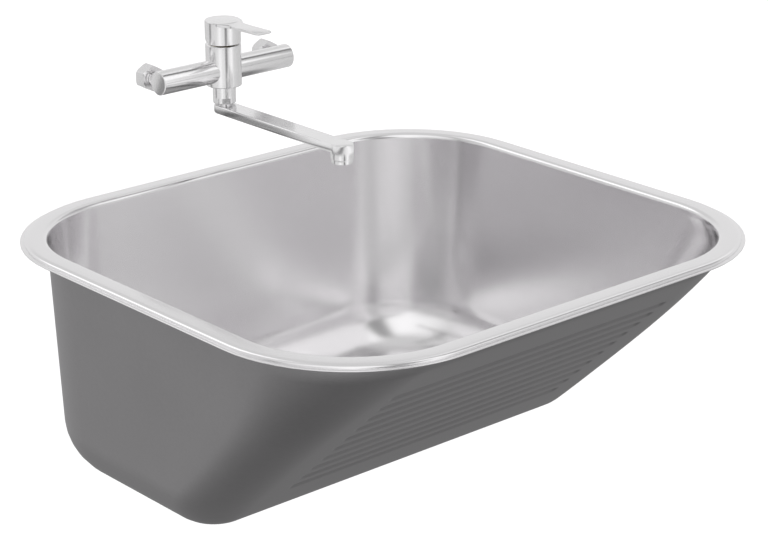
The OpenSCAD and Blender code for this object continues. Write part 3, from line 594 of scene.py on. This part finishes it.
# ---- Waste ----
# The strainer waste: a pressed steel flange and cup in the floor's recess, a plastic body with the
# outlet thread under it, one screw that clamps the two together, and a rubber ring above and below
# the sheet.
seat_z = sheet_t - bowl_depth - recess_h
top_seal_t, gasket_t = 1.5 * mm, 3 * mm
flange_d, flange_t, flange_z = 108 * mm, 1 * mm, seat_z + top_seal_t
cup_z = flange_z - 19.5 * mm
gasket_z = seat_z - sheet_t - gasket_t
body_d, body_h, body_wall, body_r, body_lip = 89 * mm, 25.5 * mm, 2 * mm, 6 * mm, 3 * mm
body_z = gasket_z - body_h
outlet_r, outlet_l, outlet_wall = 23.9 * mm, 14 * mm, 3.4 * mm
outlet_pitch, thread_crest, thread_root = 2.309 * mm, 0.6 * mm, 0.75 * mm
outlet_shoulder, outlet_neck = 1 * mm, 1.6 * mm
hub_r, screw_hole_r = 7 * mm, 3.1 * mm
arm_l, arm_t, arm_middle = 37 * mm, 3 * mm, 24 * mm
drain = (0, waste_y, 0)


def eased(corners, steps=4):
    """The points of a closed section whose corners are rounded by the length given with each."""
    line = []
    for i, (out, up, ease) in enumerate(corners):
        here = Vector((out, up))
        if not ease:
            line.append(here)
            continue
        around = [Vector(corners[j % len(corners)][:2]) for j in (i - 1, i + 1)]
        start, end = [here + (corner - here).normalized() * ease for corner in around]
        for k in range(steps + 1):
            t = k / steps
            line.append(start.lerp(here, t).lerp(here.lerp(end, t), t))
    return line


def turned(mesh, corners, centre, axis=(0, 0, 1), count=96):
    """Spins a section of (radius, height, easing) corners about an axis, as on a lathe."""
    axis = Vector(axis)
    out = axis.orthogonal().normalized()
    before = len(mesh.verts)
    line = [mesh.verts.new(Vector(centre) + out * r + axis * h) for r, h in eased(corners)]
    solid = corners[0][0] == 0 and corners[-1][0] == 0
    pairs = zip(line, line[1:] if solid else line[1:] + line[:1])
    edges = [mesh.edges.new(pair) for pair in pairs]
    bmesh.ops.spin(
        mesh, geom=line + edges, cent=centre, axis=axis, angle=2 * pi, steps=count, use_merge=True)
    mesh.verts.ensure_lookup_table()
    bmesh.ops.remove_doubles(mesh, verts=mesh.verts[before:], dist=0.001 * mm)
    return mesh


def ring_section(inner, outer, low, high, ease, outer_ease=None):
    """The corners of a flat ring's section, for turning."""
    rim_ease = outer_ease or ease
    return [
        (inner, low, ease), (outer, low, rim_ease), (outer, high, rim_ease), (inner, high, ease)]


def ring_of(radius, height, centre, upright=True, count=120):
    """A ring of points about an upright axis, or about an axis that points to the wall. The radius
    may be a function of the angle."""
    ring = []
    for i in range(count):
        angle = 2 * pi * i / count
        r = radius(angle) if callable(radius) else radius
        side, rest = r * cos(angle), r * sin(angle)
        offset = (side, rest, height) if upright else (side, height, rest)
        ring.append(Vector(centre) + Vector(offset))
    return ring


def broken_edges(node, edge=0.15 * mm):
    """A merged copy of a CAD node, with its sharp edges taken off."""
    mesh = bmesh.new()
    mesh.from_mesh(nodes[node].data)
    bmesh.ops.remove_doubles(mesh, verts=mesh.verts, dist=0.001 * mm)
    bmesh.ops.dissolve_limit(mesh, angle_limit=radians(0.5), verts=mesh.verts, edges=mesh.edges)
    sharp = [
        line for line in mesh.edges
        if line.is_manifold and line.calc_face_angle() > radians(28)]
    bmesh.ops.bevel(
        mesh, geom=sharp, offset=edge, offset_type="OFFSET", segments=2, affect="EDGES",
        profile=0.5, material=-1, clamp_overlap=False)
    return mesh


pressed = brushed(
    "pressed_steel", ((0.66, 0.665, 0.67), (0.78, 0.785, 0.79)), 0.16, (400, 400, 400),
    cloudiness=0.06, depth=0.03)
bright = brushed(
    "bright_screw_steel", ((0.68, 0.68, 0.69), (0.8, 0.8, 0.81)), 0.14, (600, 600, 90),
    cloudiness=0.05, depth=0.03)
rubber = speckled("black_rubber", ((0.012, 0.012, 0.013), (0.03, 0.03, 0.031)), 0.5, 900.0, 0.15)
white_moulding = speckled(
    "white_polypropylene", ((0.78, 0.78, 0.76), (0.86, 0.86, 0.85)), 0.38, 600.0, 0.06)

finished(
    "waste_flange_cup", broken_edges("waste_flange"), "sink", pressed,
    ["waste_flange"])
finished(
    "clamping_screw", broken_edges("waste_screw"), "sink", bright, ["waste_screw"])

for name, node, low, thick in (
        ("waste_top_ring", "waste_top_seal", seat_z, top_seal_t),
        ("waste_under_ring", "waste_gasket", gasket_z, gasket_t)):
    ring = turned(bmesh.new(), ring_section(
        waste_hole_d / 2 + 0.5 * mm, flange_d / 2 - 1 * mm, low, low + thick, 0.3 * mm, 0.4 * mm),
        drain)
    finished(name, ring, "sink", rubber, [node])

body_out, body_in, bore_r = body_d / 2, body_d / 2 - body_wall, outlet_r - outlet_wall
neck_r, neck_z = outlet_r - thread_crest, body_z - outlet_neck
waste = turned(bmesh.new(), [
    (body_in, gasket_z, 0.3 * mm), (flange_d / 2, gasket_z, 0.5 * mm),
    (flange_d / 2, gasket_z - body_lip, 0.5 * mm), (body_out, gasket_z - body_lip, 0.8 * mm),
    (body_out, body_z + body_r, 3 * mm), (body_out - body_r, body_z, 3 * mm),
    (outlet_r, body_z, 0.8 * mm), (outlet_r, body_z - outlet_shoulder, 0), (neck_r, neck_z, 0),
    (bore_r, neck_z, 0), (bore_r, body_z + body_wall, 0.8 * mm),
    (body_in - body_r + 1 * mm, body_z + body_wall, 3 * mm),
    (body_in, body_z + body_r + 1 * mm, 3 * mm)], drain)
thread_l = outlet_l - outlet_neck
thread_steps = 96


def outlet_thread(along):
    """The outlet's radius at a distance below its neck. The thread fades out at both ends."""
    fade = min(along, thread_l - along, outlet_pitch / 2) / (outlet_pitch / 2)

    def radius(angle):
        cut = 0.5 - 0.5 * cos(2 * pi * along / outlet_pitch - angle)
        return neck_r + fade * (thread_crest * (1 - cut) - thread_root * cut)

    return radius


neck = (0, waste_y, neck_z)
rings = []
for i in range(thread_steps + 1):
    along = thread_l * i / thread_steps
    rings.append(ring_of(outlet_thread(along), -along, neck, count=thread_steps))
rings += [ring_of(bore_r, -along, neck, count=thread_steps) for along in (thread_l, 0)]
loft(waste, rings, closed=True)
hub = (0, waste_y, body_z)
turned(waste, [
    (screw_hole_r, 0, 0), (hub_r, 0, 0.4 * mm), (hub_r, cup_z - body_z, 0.4 * mm),
    (screw_hole_r, cup_z - body_z, 0)], hub, count=48)
arm_h = cup_z - body_z - body_wall
for third in range(3):
    arm = bmesh.ops.create_cube(waste, size=1)["verts"]
    bmesh.ops.scale(waste, verts=arm, vec=(arm_l, arm_t, arm_h))
    bmesh.ops.translate(waste, verts=arm, vec=(arm_middle, 0, arm_h / 2))
    bmesh.ops.rotate(
        waste, verts=arm, cent=(0, 0, 0), matrix=Matrix.Rotation(radians(120 * third), 3, "Z"))
    bmesh.ops.translate(waste, verts=arm, vec=hub)
finished("waste_body_moulding", waste, "sink", white_moulding, ["waste_body"])


# ---- Strainer basket ----
# A lift-out basket of perforated steel with a turned knob on a rod, to catch what the mop leaves.
# It stands on a rubber ring in the cup.
basket_seal_in, basket_seal_out, basket_seal_t = 27.5 * mm, 32 * mm, 2 * mm
basket_seal_z = cup_z + flange_t + 0.3 * mm
finished(
    "basket", broken_edges("strainer_basket"), "basket", pressed,
    ["strainer_basket"])
ring = turned(bmesh.new(), ring_section(
    basket_seal_in, basket_seal_out, basket_seal_z, basket_seal_z + basket_seal_t, 0.5 * mm), drain)
finished("basket_ring", ring, "basket", rubber, ["basket_seal"])


# ---- Tap body ----
# One brass casting, machined and then plated: an upright barrel for the cartridge, a bar across it
# for hot and cold water, and a tail at each end that the union nut pulls against the wall's pipe.
tap_y, bar_z = 247 * mm, 116 * mm
bar_r, bar_l = 12.25 * mm, 167 * mm
barrel_r, barrel_top, barrel_bottom = 18.5 * mm, 143.5 * mm, 100 * mm
cavity_r, cavity_z, clamp_r, clamp_z = 12.6 * mm, 113.55 * mm, 15.5 * mm, 135.5 * mm
boss_r, boss_l = 9.8 * mm, 12 * mm
spigot_bore_r = 7.1 * mm
inlet_pitch = 150 * mm
tail_r, tail_l, tail_collar_r, tail_collar_t = 6.5 * mm, 24.5 * mm, 9.2 * mm, 2.5 * mm
saddle_r, saddle_top = 7.8 * mm, 15.25 * mm
inlet_bore_r, spigot_bore_top = 4.5 * mm, 104 * mm
bar_root, saddle_root = 13.2 * mm, 8 * mm
tap_axis = (0, tap_y, 0)

plated = brushed(
    "satin_plate", ((0.833, 0.826, 0.833), (0.893, 0.886, 0.893)), 0.10, (120, 120, 120),
    cloudiness=0.04, depth=0.015, metallic=0.93)

casting = turned(bmesh.new(), [
    (0, spigot_bore_top, 0), (spigot_bore_r, spigot_bore_top, 0),
    (spigot_bore_r, barrel_bottom - boss_l, 0.4 * mm), (boss_r, barrel_bottom - boss_l, 0.5 * mm),
    (boss_r, barrel_bottom, 0.3 * mm), (barrel_r, barrel_bottom, 0.8 * mm),
    (barrel_r, barrel_top, 0.7 * mm), (clamp_r, barrel_top, 0.4 * mm), (clamp_r, clamp_z, 0),
    (cavity_r, clamp_z, 0.3 * mm), (cavity_r, cavity_z, 0), (0, cavity_z, 0)], tap_axis)
for side in (1, -1):
    turned(casting, [
        (0, bar_root, 0), (bar_r, bar_root, 0), (bar_r, bar_l / 2, 0.9 * mm), (0, bar_l / 2, 0)],
        (0, tap_y, bar_z), (side, 0, 0))
    turned(casting, [
        (inlet_bore_r, saddle_root, 0), (saddle_r, saddle_root, 0),
        (saddle_r, saddle_top, 0.5 * mm), (tail_r, saddle_top, 0.4 * mm),
        (tail_r, tail_l - tail_collar_t, 0.3 * mm),
        (tail_collar_r, tail_l - tail_collar_t, 0.4 * mm), (tail_collar_r, tail_l, 0.4 * mm),
        (inlet_bore_r, tail_l, 0.3 * mm)], (side * inlet_pitch / 2, tap_y, bar_z), (0, 1, 0), 64)
finished("tap_casting", casting, "sink", plated, ["tap_body"])


# ---- Union nuts ----
# A plated brass nut turns freely on each tail. Its thread draws the tail's collar and a flat rubber
# washer against the pipe, and its six flats take the spanner.
nut_apothem, nut_l, nut_gap, nut_chamfer = 12 * mm, 14 * mm, 19 * mm, 1.4 * mm
nut_back_t, nut_hole_r, nut_relief_r, nut_thread_r = 3 * mm, 6.7 * mm, 10 * mm, 9.3 * mm
nut_pitch, nut_thread_h, nut_relief_l = 1.34 * mm, 0.6 * mm, 4.5 * mm
washer_in, washer_t = 5.5 * mm, 2 * mm


def spannered(angle, apothem, round_r, crispness=90):
    """Radius of a hexagon with eased corners inside a circle, at an angle in radians."""
    terms = [(max(cos(angle - k * pi / 3), 0) / apothem) ** crispness for k in range(6)]
    return (sum(terms) + (1 / round_r) ** crispness) ** (-1 / crispness)


def nut_outside(height):
    end = min(height, nut_l - height)
    cone = nut_apothem / cos(pi / 6) + 0.3 * mm - max(nut_chamfer - end, 0)
    return lambda angle: spannered(angle, nut_apothem, cone)


def nut_thread(height):
    depth = min((nut_l - height) / nut_pitch, 1) * nut_thread_h
    lead = 2 * pi * height / nut_pitch
    return lambda angle: nut_thread_r + depth * (0.5 - 0.5 * cos(lead - angle))


nuts = bmesh.new()
for side in (1, -1):
    centre = (side * inlet_pitch / 2, tap_y + nut_gap, bar_z)
    ends = [0, 0.25, 0.5, 0.75, 1, 1.2, 1.4, 1.6, 2]
    heights = [h * mm for h in ends + [4, 7, 10]] + [nut_l - h * mm for h in reversed(ends)]
    rings = [ring_of(nut_outside(h), h, centre, False) for h in heights]
    thread_start = nut_back_t + nut_relief_l
    steps = int((nut_l - thread_start) / (nut_pitch / 8))
    heights = [nut_l - (nut_l - thread_start) * k / steps for k in range(steps + 1)]
    rings += [ring_of(nut_thread(h), h, centre, False) for h in heights]
    rings += [ring_of(nut_relief_r, h, centre, False) for h in (thread_start, nut_back_t)]
    rings += [ring_of(r, h, centre, False) for r, h in (
        (nut_hole_r, nut_back_t), (nut_hole_r, 0.3 * mm), (nut_hole_r + 0.3 * mm, 0))]
    loft(nuts, rings, closed=True)
finished("union_nut_pair", nuts, "sink", plated, ["union_nuts"], 30)

washers = bmesh.new()
for side in (1, -1):
    turned(
        washers, ring_section(washer_in, tail_collar_r, tail_l, tail_l + washer_t, 0.3 * mm),
        (side * inlet_pitch / 2, tap_y, bar_z), (0, 1, 0), 64)
finished("flat_washer_pair", washers, "sink", rubber, ["inlet_washers"])


# ---- Cartridge ----
# The single-lever cartridge in the barrel: an acetal housing with two lapped ceramic discs, the
# rotor and brass stem that slide them, and the brass ring nut that clamps the housing down.
acetal = speckled("ivory_acetal", ((0.68, 0.65, 0.54), (0.76, 0.73, 0.62)), 0.36, 500.0, 0.05)
ceramic = speckled(
    "lapped_ceramic", ((0.84, 0.84, 0.82), (0.9, 0.9, 0.885)), 0.14, 900.0, 0.02, 0.05 * mm)
brass = brushed(
    "machined_brass", ((0.30, 0.22, 0.10), (0.44, 0.33, 0.16)), 0.32, (500, 500, 120),
    cloudiness=0.08, depth=0.05)
cartridge_finishes = {
    "cartridge_housing": acetal, "cartridge_nut": brass, "cartridge_seals": rubber,
    "fixed_disc": ceramic, "moving_disc": ceramic, "disc_carrier": acetal, "rotor": acetal,
    "pivot_pin": bright, "stem": brass}
for node, finish in cartridge_finishes.items():
    nodes[node].data.materials.clear()
    nodes[node].data.materials.append(finish)


# ---- Lever ----
# A plated cap that sits over the cartridge's stem, with the flat lever running out of its top. A
# grub screw in the back of the cap holds it, and the skirt is cut away there so that it can tilt.
cap_z, cap_top, cap_r, cap_wall, cap_edge = 145 * mm, 168.5 * mm, 18.5 * mm, 1.8 * mm, 1.1 * mm
lever_start, lever_neck, lever_flat, lever_reach = 9 * mm, 26 * mm, 32 * mm, 70 * mm
lever_t, lever_tip_t, lever_drop = 3.6 * mm, 1.8 * mm, 0.8 * mm
neck_half, tip_half, tip_l, tip_corner = 9 * mm, 10 * mm, 5 * mm, 4 * mm
lever_edge = 0.7 * mm
relief = radians(24)
stem_lean, grub_hole_r, grub_foot = radians(11), 2.7 * mm, (0, 246.73 * mm, 153.80 * mm)
drill_start, drill_end = 8 * mm, 24 * mm
shoulder_half = sqrt(cap_r * cap_r - lever_start * lever_start) - 0.2 * mm


def flowing(t):
    t = min(max(t, 0), 1)
    return t * t * (3 - 2 * t)


def lever_section(out, half, inset=0.0):
    """The lever's rounded section at a distance in front of the axis."""
    top = cap_top - lever_drop * flowing((out - lever_start) / (lever_flat - lever_start))
    if out < lever_start:
        top -= 0.05 * mm
    share = max(out - lever_start, 0) / (lever_reach - lever_start)
    thick = lever_t + (lever_tip_t - lever_t) * share
    half, top, low = half - inset, top - inset, top - thick + inset
    ease = min(lever_edge, (top - low) / 2.2)
    corners = [(half, low, ease), (half, top, ease), (-half, top, ease), (-half, low, ease)]
    return [(x, tap_y - out, z) for x, z in eased(corners, 5)]


def drilled(mesh, drill):
    """Cuts one closed mesh out of another."""
    work, tool = keep("work", mesh), keep("drill", drill)
    cutting = work.modifiers.new("drill", "BOOLEAN")
    cutting.object = tool
    result = bmesh.new()
    result.from_object(work, bpy.context.evaluated_depsgraph_get())
    for used in (work, tool):
        bpy.data.objects.remove(used)
    return result


stations = [(5 * mm, shoulder_half - 2 * mm)]
for k in range(13):
    out = lever_start + (lever_neck - lever_start) * k / 12
    stations.append((out, shoulder_half + (neck_half - shoulder_half) * flowing(k / 12)))
for k in range(1, 9):
    out = lever_neck + (lever_reach - tip_l - lever_neck) * k / 8
    stations.append((out, neck_half + (tip_half - neck_half) * k / 8))
for k in range(1, 9):
    turn = pi / 2 * k / 8
    out = lever_reach - tip_l * (1 - sin(turn))
    stations.append((out, tip_half - tip_corner * (1 - cos(turn))))
sections = [lever_section(out, half) for out, half in stations]
tip_out, tip_width = stations[-1]
for turn in (0.5, 1.0, 1.4):
    out = tip_out - lever_edge * (1 - cos(turn)) * 0.2
    sections.append(lever_section(out, tip_width, lever_edge * sin(turn) * 0.9))

handle = turned(bmesh.new(), [
    (0, cap_top - lever_t, 0), (cap_r - cap_wall, cap_top - lever_t, 0.5 * mm),
    (cap_r - cap_wall, cap_z, 0.3 * mm), (cap_r, cap_z, 0.5 * mm), (cap_r, cap_top, cap_edge),
    (0, cap_top, 0)], tap_axis, count=128)
cut = bmesh.ops.bisect_plane(
    handle, geom=handle.verts[:] + handle.edges[:] + handle.faces[:], dist=0.001 * mm,
    plane_co=(0, tap_y, cap_z), plane_no=(0, sin(relief), -cos(relief)), clear_outer=True)
bmesh.ops.edgeloop_fill(handle, edges=[edge for edge in handle.edges if edge.is_boundary])
bmesh.ops.recalc_face_normals(handle, faces=handle.faces)
drill = turned(bmesh.new(), [
    (0, drill_start, 0), (grub_hole_r, drill_start, 0), (grub_hole_r, drill_end, 0),
    (0, drill_end, 0)], grub_foot, (0, cos(stem_lean), sin(stem_lean)), 48)
bmesh.ops.recalc_face_normals(drill, faces=drill.faces)
handle = loft(drilled(handle, drill), sections, capped=True)
finished("cap_and_lever", handle, "lever", plated, ["lever_handle"], 30)

grub_finish = speckled("grey_nylon", ((0.2, 0.2, 0.21), (0.3, 0.3, 0.31)), 0.45, 700.0, 0.05)
nodes["handle_screw"].data.materials.clear()
nodes["handle_screw"].data.materials.append(grub_finish)


# ---- Spout ----
# A flat plated arm that swings under the barrel. It hangs on a turned spigot with two O-rings, and
# ends in a round outlet that holds the aerator.
arm_z, arm_top, arm_half, low_r, top_r = 70 * mm, 79 * mm, 11 * mm, 2.6 * mm, 1.1 * mm
outlet_y, outlet_z, outlet_half = 60 * mm, 59.5 * mm, 11.25 * mm
outlet_skirt_z, outlet_roof, outlet_bore_r, outlet_way_r = 64 * mm, 77.3 * mm, 9.55 * mm, 7 * mm
pillar_r, collar_r, collar_z, collar_top = 7.35 * mm, 9 * mm, 84.5 * mm, 87.7 * mm
spigot_r, spigot_top = 7.05 * mm, 103 * mm
groove_r, groove_w, ring_grooves = 5.55 * mm, 2 * mm, (90.5 * mm, 95.5 * mm)


def arm_outline(inset, z):
    """The arm in plan: two half circles and the straight sides between them."""
    r = arm_half - inset
    ring = [(r * cos(pi * i / 32), tap_y + r * sin(pi * i / 32), z) for i in range(33)]
    ring += [(-r, tap_y - (tap_y - outlet_y) * i / 12, z) for i in range(1, 12)]
    ring += [(-r * cos(pi * i / 32), outlet_y - r * sin(pi * i / 32), z) for i in range(33)]
    return ring + [(r, outlet_y + (tap_y - outlet_y) * i / 12, z) for i in range(1, 12)]


bend = [pi / 2 * k / 6 for k in range(7)]
rings = [arm_outline(low_r + 1 * mm, arm_z)]
rings += [arm_outline(low_r - low_r * sin(a), arm_z + low_r - low_r * cos(a)) for a in bend]
rings += [arm_outline(top_r - top_r * cos(a), arm_top - top_r + top_r * sin(a)) for a in bend]
rings += [arm_outline(top_r + 1 * mm, arm_top)]
arm = loft(bmesh.new(), rings, capped=True)
spigot = [
    (0, arm_top - 1 * mm, 0), (pillar_r, arm_top - 1 * mm, 0), (pillar_r, collar_z, 0.2 * mm),
    (collar_r, collar_z, 0.3 * mm), (collar_r, collar_top, 0.3 * mm),
    (spigot_r, collar_top, 0.2 * mm)]
for low in ring_grooves:
    spigot += [
        (spigot_r, low, 0.1 * mm), (groove_r, low, 0), (groove_r, low + groove_w, 0),
        (spigot_r, low + groove_w, 0.1 * mm)]
turned(arm, spigot + [(spigot_r, spigot_top, 0.5 * mm), (0, spigot_top, 0)], tap_axis, count=64)
turned(arm, [
    (0, arm_top + 0.02 * mm, 0), (outlet_half, arm_top + 0.02 * mm, 0.8 * mm),
    (outlet_half, outlet_skirt_z, 0.8 * mm), (outlet_bore_r, outlet_skirt_z, 0.2 * mm),
    (outlet_bore_r, arm_z + 1 * mm, 0), (outlet_way_r, arm_z + 1 * mm, 0),
    (outlet_way_r, outlet_roof, 0), (0, outlet_roof, 0)], (0, outlet_y, 0))
finished("spout_arm", arm, "spout", plated, ["spout"], 30)

o_rings = bmesh.new()
for low in ring_grooves:
    turned(o_rings, ring_section(
        groove_r, spigot_r, low + 0.1 * mm, low + groove_w - 0.1 * mm, 0.7 * mm),
        tap_axis, count=64)
finished("o_ring_pair", o_rings, "spout", rubber, ["spout_o_rings"])


# ---- Swivel nut ----
# The nut that holds the spout's collar up against the barrel's boss, with spanner flats at its foot
# and a ring of acetal inside for the collar to turn on.
swivel_r, swivel_apothem, swivel_h, swivel_flats_h = 12 * mm, 11 * mm, 19 * mm, 6.5 * mm
swivel_z, swivel_hole_r, swivel_bore_r, swivel_lip = 81 * mm, 7.65 * mm, 9.9 * mm, 2 * mm
swivel_chamfer, swivel_ring_t = 0.8 * mm, 1.2 * mm


def swivel_outside(height):
    round_r = swivel_r - max(swivel_chamfer - min(height, swivel_h - height), 0)
    if height > swivel_flats_h:
        return round_r
    return lambda angle: spannered(angle, swivel_apothem, round_r)


swivel_heights = [h * mm for h in (
    0, 0.2, 0.4, 0.6, 0.8, 1.2, 3, 5, 6.2, 6.5, 6.51, 7, 12, 17.5, 18.2, 18.4, 18.6, 18.8, 19)]
rings = [ring_of(swivel_outside(h), swivel_z + h, tap_axis) for h in swivel_heights]
rings += [ring_of(r, swivel_z + h, tap_axis) for r, h in (
    (swivel_bore_r + 0.3 * mm, swivel_h), (swivel_bore_r, swivel_h - 0.3 * mm),
    (swivel_bore_r, swivel_lip), (swivel_hole_r, swivel_lip), (swivel_hole_r, 0.3 * mm),
    (swivel_hole_r + 0.3 * mm, 0))]
swivel = loft(bmesh.new(), rings, closed=True)
finished("swivel_collar_nut", swivel, "sink", plated, ["swivel_nut"], 30)

ring_z = swivel_z + swivel_lip
ring = turned(bmesh.new(), ring_section(
    swivel_hole_r, collar_r, ring_z, ring_z + swivel_ring_t, 0.2 * mm), tap_axis, count=64)
finished("acetal_ring", ring, "sink", acetal, ["friction_ring"])


# ---- Aerator ----
# The screwed ring at the outlet's mouth holds a plastic insert with a fine mesh, which mixes air
# into the water, and a rubber washer behind it.
outlet_axis = (0, outlet_y, 0)
housing_r, mouth_r = 10.45 * mm, 8.45 * mm
insert_r, insert_z, insert_t, mouth_washer_t = 9.45 * mm, 61 * mm, 3 * mm, 1 * mm
mesh_cells, mesh_bar, mesh_t = 14, 0.26 * mm, 0.7 * mm

housing = turned(bmesh.new(), [
    (mouth_r, outlet_z, 0.4 * mm), (housing_r, outlet_z, 0.8 * mm),
    (housing_r, outlet_skirt_z, 0.4 * mm), (outlet_bore_r, outlet_skirt_z, 0),
    (outlet_bore_r, insert_z, 0), (mouth_r, insert_z, 0.2 * mm)], outlet_axis)
finished("mouth_ring", housing, "spout", plated, ["aerator_housing"])

grille = bmesh.new()
middle = Vector((0, outlet_y, insert_z + mesh_t))
bmesh.ops.create_grid(
    grille, x_segments=mesh_cells, y_segments=mesh_cells, size=mouth_r,
    matrix=Matrix.Translation(middle))
beyond = [
    face for face in grille.faces
    if (face.calc_center_median() - middle).length > mouth_r + 0.2 * mm]
bmesh.ops.delete(grille, geom=beyond, context="FACES")
cells = grille.faces[:]
bmesh.ops.inset_individual(grille, faces=cells, thickness=mesh_bar)
bmesh.ops.delete(grille, geom=cells, context="FACES_ONLY")
bmesh.ops.recalc_face_normals(grille, faces=grille.faces)
bmesh.ops.solidify(grille, geom=grille.faces[:], thickness=mesh_t)
turned(grille, [
    (mouth_r - 0.4 * mm, insert_z, 0), (insert_r, insert_z, 0.2 * mm),
    (insert_r, arm_z, 0.2 * mm), (0, arm_z, 0), (0, insert_z + insert_t, 0),
    (mouth_r - 0.4 * mm, insert_z + insert_t, 0)], outlet_axis, count=64)
insert_finish = speckled(
    "grey_acetal", ((0.42, 0.43, 0.44), (0.52, 0.53, 0.54)), 0.38, 700.0, 0.05)
finished("mesh_insert", grille, "spout", insert_finish, ["aerator_insert"])

washer = turned(bmesh.new(), ring_section(
    outlet_way_r, insert_r, arm_z, arm_z + mouth_washer_t, 0.2 * mm), outlet_axis, count=64)
finished("mouth_washer", washer, "spout", rubber, ["aerator_washer"])
